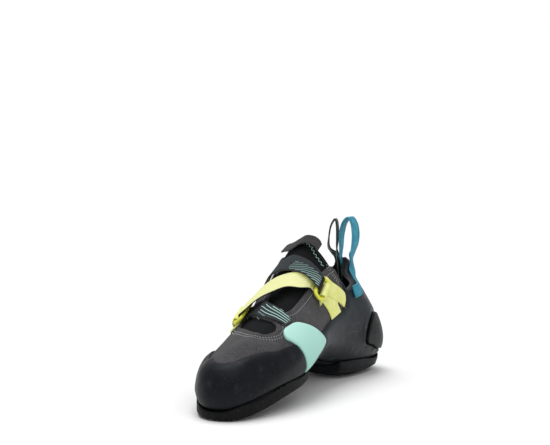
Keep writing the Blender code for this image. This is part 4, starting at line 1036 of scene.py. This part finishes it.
# tapes: strap, tabs, loops
def tape(name, material, toeEdge, heelEdge, depth, columns=12, node=None, slot=None):
    toeEdge, heelEdge = np.array(toeEdge), np.array(heelEdge)
    centre = (toeEdge + heelEdge) / 2
    across = heelEdge - toeEdge
    width = np.linalg.norm(across, axis=1)
    travel = np.gradient(centre, axis=0)
    normal = oneLong(np.cross(travel, across))
    flat = np.linspace(-1, 1, columns)
    # points of one section: share across, push out, share of the height, face
    arc = [(math.cos(a), math.sin(a), 1.0 if a > math.radians(45) else 0.0)
           for a in np.radians((60, 30, 0, -30, -60))]
    points = ([(v, 0.0, 1.0, 1.0) for v in flat] + [(1.0, *corner) for corner in arc]
              + [(v, 0.0, -1.0, 0.0) for v in flat[::-1]] + [(-1.0, *corner) for corner in arc[::-1]])
    count, corner = len(centre), len(arc)
    unit = across / width[:, None]
    run = runOf(centre)
    verts, flatUv, face = [], [], []
    inset = depth / 2
    for k in range(count):
        for v, push, high, side in points:
            half = width[k] / 2 - inset
            x = v * half + np.sign(v) * push * inset
            verts.append(centre[k] + unit[k] * x + normal[k] * (high * depth / 2))
            flatUv.append((run[k], x + width[k] / 2))
            face.append(side)
    size = len(points)
    faces = []
    for k in range(count - 1):
        for j in range(size):
            m = (j + 1) % size
            faces.append((k * size + j, k * size + m, (k + 1) * size + m, (k + 1) * size + j))
    caps = []
    for start in (0, (count - 1) * size):
        for j in range(columns - 1):
            low = size - corner - 1 - j
            caps.append((start + j, start + j + 1, start + low - 1, start + low))
        caps.append(tuple(start + j for j in range(columns - 1, columns + corner + 1)))
        caps.append(tuple([start + j for j in range(size - corner - 1, size)] + [start]))
    item = newMesh(name, verts, faces + caps, material)
    store(item, "faceSide", face)
    store(item, "runGap", np.repeat(run, size))
    storeFollow(item, flatUv)
    cleaned(item, 0.000001)
    if node or slot:
        place(item, node)
    print(name, "vertices", len(item.data.vertices))
    return item


def edgePairs(stations):
    rows = np.array(stations, dtype=float)
    return (skin(rows[:, 0], rows[:, 1], rows[:, 2] * millimetre),
            skin(rows[:, 3], rows[:, 4], rows[:, 5] * millimetre))


def ringFrame(bar, inner):
    toeEnd, heelEnd = [edge[0] for edge in edgePairs((bar,))]
    axis = oneLong(heelEnd - toeEnd)
    middle = (toeEnd + heelEnd) / 2
    turns = np.linspace(0.0, ring["search"], 49) * (-1 if inner else 1)
    s, q = (bar[0] + bar[3]) / 2, (bar[1] + bar[4]) / 2
    spots = skin(np.full(turns.shape, s), q + turns, bar[2] * millimetre)
    span = np.linalg.norm(spots - middle, axis=1)
    out = spots[int(np.argmin(abs(span - ring["depth"])))] - middle
    out = oneLong(out - axis * np.dot(out, axis))
    up = np.cross(axis, out)
    if np.dot(up, skin(s, q, 0.001) - skin(s, q, 0.0)) < 0:
        up = -up
    return toeEnd, heelEnd, axis, out, up


turnRadius = ring["wire"] + 2 * layers["fit"] + layers["webbing"] / 2


def turnRound(toeEnd, heelEnd, out, up, steps=13):
    moves = [turnRadius * (out * math.sin(angle) - up * math.cos(angle))
             for angle in np.linspace(0.0, math.pi, steps)]
    return [toeEnd + move for move in moves], [heelEnd + move for move in moves]


# stripes: 1 for the tail, start and end along it, across at both ends, width in millimetres, strength
stripeRows = ((0, 0.0, 36.0, 2.2, 5.6, 0.60, 1.0), (0, 0.0, 38.0, 4.4, 9.4, 0.60, 1.0),
              (0, 0.0, 32.0, 6.6, 12.4, 0.65, 1.0), (0, 0.0, 20.0, 8.8, 12.6, 0.65, 1.0),
              (0, 0.0, 12.0, 10.6, 13.0, 0.70, 1.0), (0, 22.0, 38.0, 1.2, 3.2, 0.4, 0.6),
              (1, -4.5, -1.0, 2.6, 0.7, 0.60, 1.0), (1, -4.5, 3.3, 5.0, 0.7, 0.60, 1.0),
              (1, -4.5, 7.7, 7.4, 0.7, 0.55, 1.0), (1, -4.5, 12.0, 9.8, 0.7, 0.45, 0.9),
              (1, -4.0, 16.5, 12.0, 0.7, 0.40, 0.8), (1, 0.0, 20.5, 12.2, 0.9, 0.35, 0.7),
              (1, 4.4, 21.5, 12.2, 2.8, 0.35, 0.7), (1, 8.8, 21.5, 12.2, 5.2, 0.30, 0.6),
              (1, 13.2, 20.5, 12.2, 8.2, 0.30, 0.6), (1, 17.0, 19.5, 12.2, 10.8, 0.30, 0.6))
# dark patches: 1 for the tail, start and end along it, tone; painted shade where the strap turns under the
# rings
ringShadePatches = ((1, -12.0, -5.0, (14, 14, 16)), (0, 40.0, 60.0, (30, 33, 36)))
strapDot = (21.5, 8.6)  # small dark eyelet, along the tail and across, in millimetres
toeEdges, heelEdges = [], []
for stations, inner in ((strapLow, None), (ring["barOut"], False), (strapMid, None),
                        (ring["barIn"], True), (strapTail, None)):
    if inner is None:
        near, far = edgePairs(stations)
        near, far = smoothLine(near, 10), smoothLine(far, 10)
    else:
        toeEnd, heelEnd, axis, out, up = ringFrame(stations, inner)
        near, far = turnRound(toeEnd, heelEnd, out, up)
    toeEdges.extend(near)
    heelEdges.extend(far)
strapLine = (np.array(toeEdges) + np.array(heelEdges)) / 2
strapRun = runOf(strapLine)
finishes["strap"] = strapFinish(float(strapRun[-10 * (len(strapTail) - 1) - 1]))
tape("crossStrap", finishes["strap"], toeEdges, heelEdges, layers["webbing"], 16, node="strap",
     slot="strap_webbing")


def roundWire(name, material, path, radius, sides=14):
    path = np.array(path)
    count = len(path)
    travel = oneLong(np.roll(path, -1, axis=0) - np.roll(path, 1, axis=0))
    flat = oneLong(np.cross(path - path.mean(axis=0), travel).mean(axis=0))
    side = oneLong(np.cross(travel, flat))
    verts, faces = [], []
    for k in range(count):
        for j in range(sides):
            angle = 2 * math.pi * j / sides
            verts.append(path[k] + radius * (side[k] * math.cos(angle) + flat * math.sin(angle)))
    for k in range(count):
        n = (k + 1) % count
        for j in range(sides):
            m = (j + 1) % sides
            faces.append((k * sides + j, k * sides + m, n * sides + m, n * sides + j))
    return cleaned(newMesh(name, verts, faces, material), 0.000001)


def ringPath(bar, inner):
    toeEnd, heelEnd, axis, out, up = ringFrame(bar, inner)
    start, end = toeEnd - axis * ring["over"], heelEnd + axis * ring["over"]
    length = np.linalg.norm(end - start)
    corner = ring["corner"]
    path = []
    for cx, cy, first in ((length - corner, corner, -90), (length - corner, ring["depth"] - corner, 0),
                          (corner, ring["depth"] - corner, 90), (corner, corner, 180)):
        for step in range(9):
            angle = math.radians(first + 90 * step / 8)
            path.append(start + axis * (cx + corner * math.cos(angle))
                        + out * (cy + corner * math.sin(angle)))
    return path


for name, node, bar, inner in (("ringMedial", "ring_medial", ring["barIn"], True),
                               ("ringLateral", "ring_lateral", ring["barOut"], False)):
    place(roundWire(name, finishes["ringYellow"], ringPath(bar, inner), ring["wire"]), node)


def hookTape(name, material, bar, inner):
    toeEnd, heelEnd, axis, out, up = ringFrame(bar, inner)
    near, far = turnRound(toeEnd + out * ring["depth"], heelEnd + out * ring["depth"], -out, up)
    edgeNear, edgeFar = edgePairs(ring["foldIn" if inner else "foldOut"])
    near = np.vstack([edgeNear[:1], near, edgeNear[1:]])
    far = np.vstack([edgeFar[:1], far, edgeFar[1:]])
    middle, half = (near + far) / 2, (far - near) / 2 * ring["hookNarrow"]
    item = tape(name, material, middle - half, middle + half, layers["webbing"])
    place(item)
    return item


for name, node, loop, turns, rows, bar, inner in (
        ("tabMedial", "tab_medial", tabLoopIn, (0.4, 0.95), (8.2, 14.5), ring["barIn"], True),
        ("tabLateral", "tab_lateral", tabLoopOut, (1.2, 1.8), (6.2, 10.2), ring["barOut"], False)):
    fields = [loopField(loop)]
    if inner:
        fields.append(curveField([heelCurves[0] - (0.0004, 0)], sign=-1))  # clear of the heel rand
    panel(name, node, finishes["tabYellow"], rows, turns, 0.0012, every(*fields), randIn,
          randIn + layers["webbing"], levels=(0.0003, 0.0008), edge=0.0009, thin=0.5)
    hookTape(name + "Fold", finishes["tabYellow"], bar, inner)
print("strap, rings and tabs made")

# pull loops and tongue tab, lines in shares of ball, length and instep
loopMedial = {
    "root": ((20.3, 0.250, -3.6), (21.0, 0.250, -3.6), (21.7, 0.250, -3.9)),
    "line": ((0.052, -0.004, 0.899), (0.057, -0.004, 0.984), (0.087, -0.004, 1.063),
             (0.150, -0.006, 1.105), (0.204, -0.011, 1.067), (0.232, -0.017, 0.998),
             (0.236, -0.023, 0.929), (0.224, -0.030, 0.873), (0.212, -0.036, 0.830)),
    "tail": ((19.80, 0.410, 4.4), (18.10, 0.535, 3.7), (16.30, 0.600, 3.6), (14.85, 0.612, 3.6),
             (13.80, 0.612, 3.6)),
    "across": ((-0.50, 0.85, 0.0), (-0.50, 0.85, 0.0), (-0.45, 0.88, 0.0),
             (-0.20, 0.98, 0.0), (-0.09, 0.99, 0.0), (-0.05, 0.99, 0.0),
             (0.00, 1.00, 0.0), (0.08, 0.99, 0.0), (0.13, 0.99, 0.0),
             (0.05, 0.99, -0.05), (-0.15, 0.96, -0.20), (-0.15, 0.80, -0.50),
             (0.00, 0.60, -0.75), (0.04, 0.48, -0.86), (0.04, 0.45, -0.88),
             (0.04, 0.40, -0.90), (0.04, 0.30, -0.94)),
    "width": 0.010}
loopLateral = {
    "root": ((20.5, 1.970, -6.0), (21.2, 1.970, -6.0), (21.9, 1.975, -5.6)),
    "line": ((0.012, -0.010, 0.877), (0.016, -0.008, 0.956), (0.010, -0.006, 1.041),
             (-0.018, -0.002, 1.089), (-0.078, 0.003, 1.038), (-0.106, 0.006, 0.952),
             (-0.104, 0.008, 0.880)),
    "tail": ((21.9, 1.945, 3.6), (21.2, 1.945, 3.4), (20.5, 1.945, 3.4)),
    "across": ((-0.99, 0.10, 0.0), (-0.99, 0.10, 0.0), (-0.95, 0.30, 0.0), (-0.50, 0.87, 0.0),
             (-0.20, 0.98, 0.0), (-0.20, 0.98, 0.0), (-0.25, 0.97, 0.0), (-0.40, 0.91, 0.0),
             (-0.50, 0.87, 0.0), (-0.75, 0.66, 0.0), (-0.97, 0.20, 0.0), (-0.97, 0.20, 0.0),
             (-0.97, 0.20, 0.0)),
    "width": 0.006}
tongueTab = {
    "root": ((12.90, 1.160, 2.0), (12.50, 1.135, 0.6), (12.00, 1.105, 0.1), (11.90, 1.075, 0.2),
             (12.20, 1.035, 1.2), (12.50, 1.000, 2.8), (12.70, 0.968, 3.8), (12.80, 0.940, 3.4),
             (12.75, 0.918, 1.8)),
    "line": (), "across": ((0.0, 0.82, 0.57),) * 9, "width": 0.009}


def laid(rows, across):
    points, flat = [], []
    for (s, q, lift), way in zip(rows, across):
        low, high = skin(s, q, lift * millimetre), skin(s, q, (lift + 1) * millimetre)
        up = oneLong(high - low)
        points.append(low)
        flat.append(np.array(way) - up * np.dot(up, way))
    return points, flat


def freeTape(name, material, shape, node, slot, columns=9):
    scale = np.array([last["ball"], last["length"], last["instep"]])
    root, tail, across = shape.get("root", ()), shape.get("tail", ()), shape["across"]
    points, flat = laid(root, across[:len(root)])
    points += [np.array(point) * scale for point in shape["line"]]
    flat += [np.array(way) for way in across[len(root):len(root) + len(shape["line"])]]
    more, moreFlat = laid(tail, across[len(root) + len(shape["line"]):])
    centre, ways = smoothLine(points + more, 10), smoothLine(flat + moreFlat, 10)
    ways = oneLong(ways) * shape["width"] / 2
    return tape(name, material, centre - ways, centre + ways, layers["webbing"], columns, node, slot)


freeTape("pullLoopMedial", finishes["blueWebbing"], loopMedial, "pull_loop_medial", "blue_webbing")
freeTape("pullLoopLateral", finishes["blackWebbing"], loopLateral, "pull_loop_lateral", "black_webbing")
freeTape("tongueTab", finishes["edgeSuede"], tongueTab, "tongue_tab", "tab_suede")
print("loops made")


# stitches by geometry nodes
def stitchTree():
    tree = bpy.data.node_groups.new("stitchRow", "GeometryNodeTree")
    face = tree.interface
    face.new_socket("Path", in_out="INPUT", socket_type="NodeSocketGeometry")
    for name in ("Pitch", "Length", "Thickness"):
        face.new_socket(name, in_out="INPUT", socket_type="NodeSocketFloat")
    face.new_socket("Thread", in_out="INPUT", socket_type="NodeSocketMaterial")
    face.new_socket("Stitches", in_out="OUTPUT", socket_type="NodeSocketGeometry")

    def node(kind, settings=None):
        made = tree.nodes.new(kind)
        for key, value in (settings or {}).items():
            setattr(made, key, value)
        return made

    start, end = node("NodeGroupInput"), node("NodeGroupOutput")
    curve = node("GeometryNodeMeshToCurve")
    resample = node("GeometryNodeResampleCurve", {"mode": "LENGTH"})
    ball = node("GeometryNodeMeshUVSphere")
    ball.inputs["Segments"].default_value = 8
    ball.inputs["Rings"].default_value = 6
    ball.inputs["Radius"].default_value = 0.5
    size = node("ShaderNodeCombineXYZ")
    shaped = node("GeometryNodeTransform")
    up = node("GeometryNodeInputNamedAttribute", {"data_type": "FLOAT_VECTOR"})
    up.inputs["Name"].default_value = "up"
    tangent = node("GeometryNodeInputTangent")
    stand = node("FunctionNodeAlignRotationToVector", {"axis": "Z"})
    swing = node("FunctionNodeAlignRotationToVector", {"axis": "X", "pivot_axis": "Z"})
    scatter = node("GeometryNodeInstanceOnPoints")
    real = node("GeometryNodeRealizeInstances")
    paint = node("GeometryNodeSetMaterial")
    link = tree.links.new
    link(start.outputs["Path"], curve.inputs[0])
    link(curve.outputs[0], resample.inputs["Curve"])
    link(start.outputs["Pitch"], resample.inputs["Length"])
    link(start.outputs["Length"], size.inputs[0])
    link(start.outputs["Thickness"], size.inputs[1])
    link(start.outputs["Thickness"], size.inputs[2])
    link(ball.outputs["Mesh"], shaped.inputs["Geometry"])
    link(size.outputs[0], shaped.inputs["Scale"])
    link(up.outputs["Attribute"], stand.inputs["Vector"])
    link(stand.outputs[0], swing.inputs["Rotation"])
    link(tangent.outputs[0], swing.inputs["Vector"])
    link(resample.outputs[0], scatter.inputs["Points"])
    link(shaped.outputs[0], scatter.inputs["Instance"])
    link(swing.outputs[0], scatter.inputs["Rotation"])
    link(scatter.outputs[0], real.inputs[0])
    link(real.outputs[0], paint.inputs["Geometry"])
    link(start.outputs["Thread"], paint.inputs["Material"])
    link(paint.outputs[0], end.inputs[0])
    return tree


stitchGroup = stitchTree()


def treeInput(modifier, name, value):
    for socket in modifier.node_group.interface.items_tree:
        if socket.item_type == "SOCKET" and socket.in_out == "INPUT" and socket.name == name:
            modifier[socket.identifier] = value


stitchKinds = {
    "upper": {"Pitch": 0.0021, "Length": 0.0008, "Thickness": 0.0006},
    "cuff": {"Pitch": 0.0005, "Length": 0.0008, "Thickness": 0.00055},
    "tab": {"Pitch": 0.0016, "Length": 0.0011, "Thickness": 0.0004},
    "corner": {"Pitch": 0.0023, "Length": 0.0014, "Thickness": 0.0005},
}
seamLift = 0.0001


def stitches(name, paths, material, kind):
    verts, edges, ups = [], [], []
    for spots, normals in paths:
        start = len(verts)
        verts += [tuple(p) for p in spots]
        ups += [tuple(n) for n in normals]
        edges += [(start + k, start + k + 1) for k in range(len(spots) - 1)]
    mesh = bpy.data.meshes.new(name)
    mesh.from_pydata(verts, edges, [])
    attribute = mesh.attributes.new("up", "FLOAT_VECTOR", "POINT")
    attribute.data.foreach_set("vector", np.array(ups, dtype=np.float32).ravel())
    item = added(name, mesh)
    modifier = item.modifiers.new("stitchRow", "NODES")
    modifier.node_group = stitchGroup
    for key, value in {**stitchKinds[kind], "Thread": material}.items():
        treeInput(modifier, key, value)
    baked(item)
    setMaterial(item, material)
    shade(item)
    place(item)
    print(name, "vertices", len(item.data.vertices))
    return item


def onSkin(line, lift):  # points and normals of a line of rows and turns
    line = np.array(line, dtype=float)
    spots = skin(line[:, 0], line[:, 1], np.full(len(line), lift))
    normals = skin(line[:, 0], line[:, 1], np.full(len(line), lift + 0.001)) - spots
    return spots, oneLong(normals)


def offsetLoop(loop, away, closed=True, steps=10):  # moves a line on the last away from its inside, in metres
    line = smoothLine(loop, steps, closed)
    spots, normals = onSkin(line, 0.0)
    ahead = np.roll(spots, -1, axis=0) - np.roll(spots, 1, axis=0) if closed else np.gradient(spots, axis=0)
    sideways = oneLong(np.cross(ahead, normals))
    ds = skin(line[:, 0] + 0.05, line[:, 1]) - skin(line[:, 0] - 0.05, line[:, 1])
    dq = skin(line[:, 0], line[:, 1] + 0.01) - skin(line[:, 0], line[:, 1] - 0.01)
    moved = []
    for k in range(len(line)):
        basis = np.stack([ds[k] / 0.1, dq[k] / 0.02], axis=1)
        step, *_ = np.linalg.lstsq(basis, sideways[k] * away, rcond=None)
        moved.append(line[k] + step)
    return np.array(moved)


seamAway = {"window": (0.0048, 0.0070), "throat": 0.0046, "shownFrom": 98, "shownTo": 31}
for k, away in enumerate(seamAway["window"]):
    line = offsetLoop(windowLoop, away)
    shown = np.vstack([line[seamAway["shownFrom"]:], line[:seamAway["shownTo"]]])  # not under the strap
    name = "windowStitches%d" % (k + 1)
    stitches(name, [onSkin(shown, seamLift)], finishes["paleThread"], "upper")
for name, column, away in (("throatStitchesMedial", 1, seamAway["throat"]),
                           ("throatStitchesLateral", 2, -seamAway["throat"])):
    line = offsetLoop([(row[0], row[column]) for row in throatRows[1:8]], away, closed=False)
    stitches(name, [onSkin(line, seamLift)], finishes["paleThread"], "upper")
zigzag = {"line": ((12.80, 1.020), (12.30, 0.960), (11.85, 0.910), (11.80, 0.820)), "pitch": 0.0034,
          "reach": 0.0010, "lift": sockOut + 0.0005}


def zigzagPath(line, pitch, reach, lift):  # points that swing to both sides of a line on the knit
    spots, normals = onSkin(smoothLine(line, 24), lift)
    run = runOf(spots)
    stops = np.arange(0.0, run[-1], pitch / 2)
    centre = np.stack([np.interp(stops, run, spots[:, k]) for k in range(3)], axis=1)
    up = np.stack([np.interp(stops, run, normals[:, k]) for k in range(3)], axis=1)
    ahead = np.gradient(centre, axis=0)
    side = oneLong(np.cross(ahead, up))
    swing = np.where(np.arange(len(stops)) % 2 == 0, reach, -reach)[:, None]
    return centre + side * swing, up


stitches("cuffZigzag", [zigzagPath(**zigzag)], finishes["mintThread"], "cuff")
tabSeam = offsetLoop(((12.10, 0.53), (11.30, 0.58), (10.40, 0.65), (10.15, 0.67)), 0.0, closed=False)
stitches("tabSeam", [onSkin(tabSeam, randIn + layers["webbing"] + seamLift)], finishes["yellowThread"], "tab")
cornerSeams = (((11.95, 0.800), (12.45, 0.690)), ((12.20, 0.815), (12.70, 0.700)))
stitches("collarCornerStitches", [onSkin(smoothLine(pair, 20), seamLift) for pair in cornerSeams],
         finishes["paleThread"], "corner")
pits = {"places": ((15.20, 0.350), (14.65, 0.330)), "radius": 0.0013,
        "rings": ((0.6, 0.00015), (1.0, -0.0001), (1.0, -0.0009))}  # share of the radius, height


def pit(name, spot):  # shallow dimple on the heel patch, coloured near black: painted shade of a hole
    spots, normals = onSkin([spot], randOut + layers["patchProud"])
    middle, up = spots[0], normals[0]
    side = oneLong(np.cross(up, (0, 0, 1.0)))
    other = np.cross(up, side)
    verts, faces = [middle + up * 0.00025], []
    for share, rise in pits["rings"]:
        for k in range(20):
            angle = 2 * math.pi * k / 20
            away = side * math.cos(angle) + other * math.sin(angle)
            verts.append(middle + up * rise + pits["radius"] * share * away)
    for k in range(20):
        n = (k + 1) % 20
        faces.append((0, 1 + k, 1 + n))
        for a in (1, 21):
            faces.append((a + k, a + 20 + k, a + 20 + n, a + n))
    faces.append(tuple(range(41, 61))[::-1])
    place(cleaned(newMesh(name, verts, faces, finishes["pitShade"])))


for k, spot in enumerate(pits["places"]):
    pit("patchPit%d" % (k + 1), spot)
print("stitches made")

# camera, floor, light
cameraPlace = {"azimuth": 31.47, "elevation": 3.70, "eye": (0.4586, -0.8434, 0.1801), "lens": 79.81,
               "sensor": 36.0}
floorShape = {"half": 12.0, "height": -0.0001}
lightShape = {"fill": 0.54, "sun": 1.68, "angle": 0.7, "way": (0.16, -0.06, -1.0),
              "side": 1.0, "sideSize": 0.5, "sideSpot": (0.5, -0.5, 0.7), "sideAim": (0, -0.08, 0.04)}


def makeCamera():
    data = bpy.data.cameras.new("photoCamera")
    item = added("photoCamera", data)
    data.sensor_width = cameraPlace["sensor"]
    data.lens = cameraPlace["lens"]
    data.clip_start = 0.01
    item.location = cameraPlace["eye"]
    tilt, turn = 90.0 - cameraPlace["elevation"], cameraPlace["azimuth"]
    item.rotation_euler = (math.radians(tilt), 0.0, math.radians(turn))
    bpy.context.scene.camera = item


def makeFloor():
    one = Finish("paleFloor", 0.9)
    one.colour(one.mix(one.noise(0.5, 2.0) * 0.1, (0.97, 0.97, 0.97), (0.95, 0.95, 0.95)))
    half, height = floorShape["half"], floorShape["height"]
    corners = [(x * half, y * half, height) for x, y in ((-1, -1), (1, -1), (1, 1), (-1, 1))]
    newMesh("floor", corners, [(0, 1, 2, 3)], one.material, smooth=False)


def addLight(name, kind, way, power, settings):
    data = bpy.data.lights.new(name, kind)
    for key, value in settings.items():
        setattr(data, key, value)
    data.energy = power
    item = added(name, data)
    item.rotation_euler = Vector(way).to_track_quat("-Z", "Y").to_euler()
    return item


def makeLight():  # white world, dimmer as a light than as a backdrop, one wide soft sun, one side light
    world = bpy.data.worlds.new("studio")
    bpy.context.scene.world = world
    world.use_nodes = True
    tree = world.node_tree
    back = tree.nodes["Background"]
    back.inputs[0].default_value = (1.0, 1.0, 1.0, 1.0)
    path = tree.nodes.new("ShaderNodeLightPath")
    level = tree.nodes.new("ShaderNodeMapRange")
    level.inputs["To Min"].default_value = lightShape["fill"]
    level.inputs["To Max"].default_value = 1.0
    tree.links.new(path.outputs["Is Camera Ray"], level.inputs["Value"])
    tree.links.new(level.outputs[0], back.inputs[1])
    addLight("softSun", "SUN", lightShape["way"], lightShape["sun"], {"angle": lightShape["angle"]})
    way = Vector(lightShape["sideAim"]) - Vector(lightShape["sideSpot"])
    disk = {"shape": "DISK", "size": lightShape["sideSize"]}
    side = addLight("sideLight", "AREA", way, lightShape["side"], disk)
    side.location = lightShape["sideSpot"]


makeCamera()
makeFloor()
makeLight()
bpy.context.scene.view_settings.view_transform = "Standard"
print("camera, floor and light made")
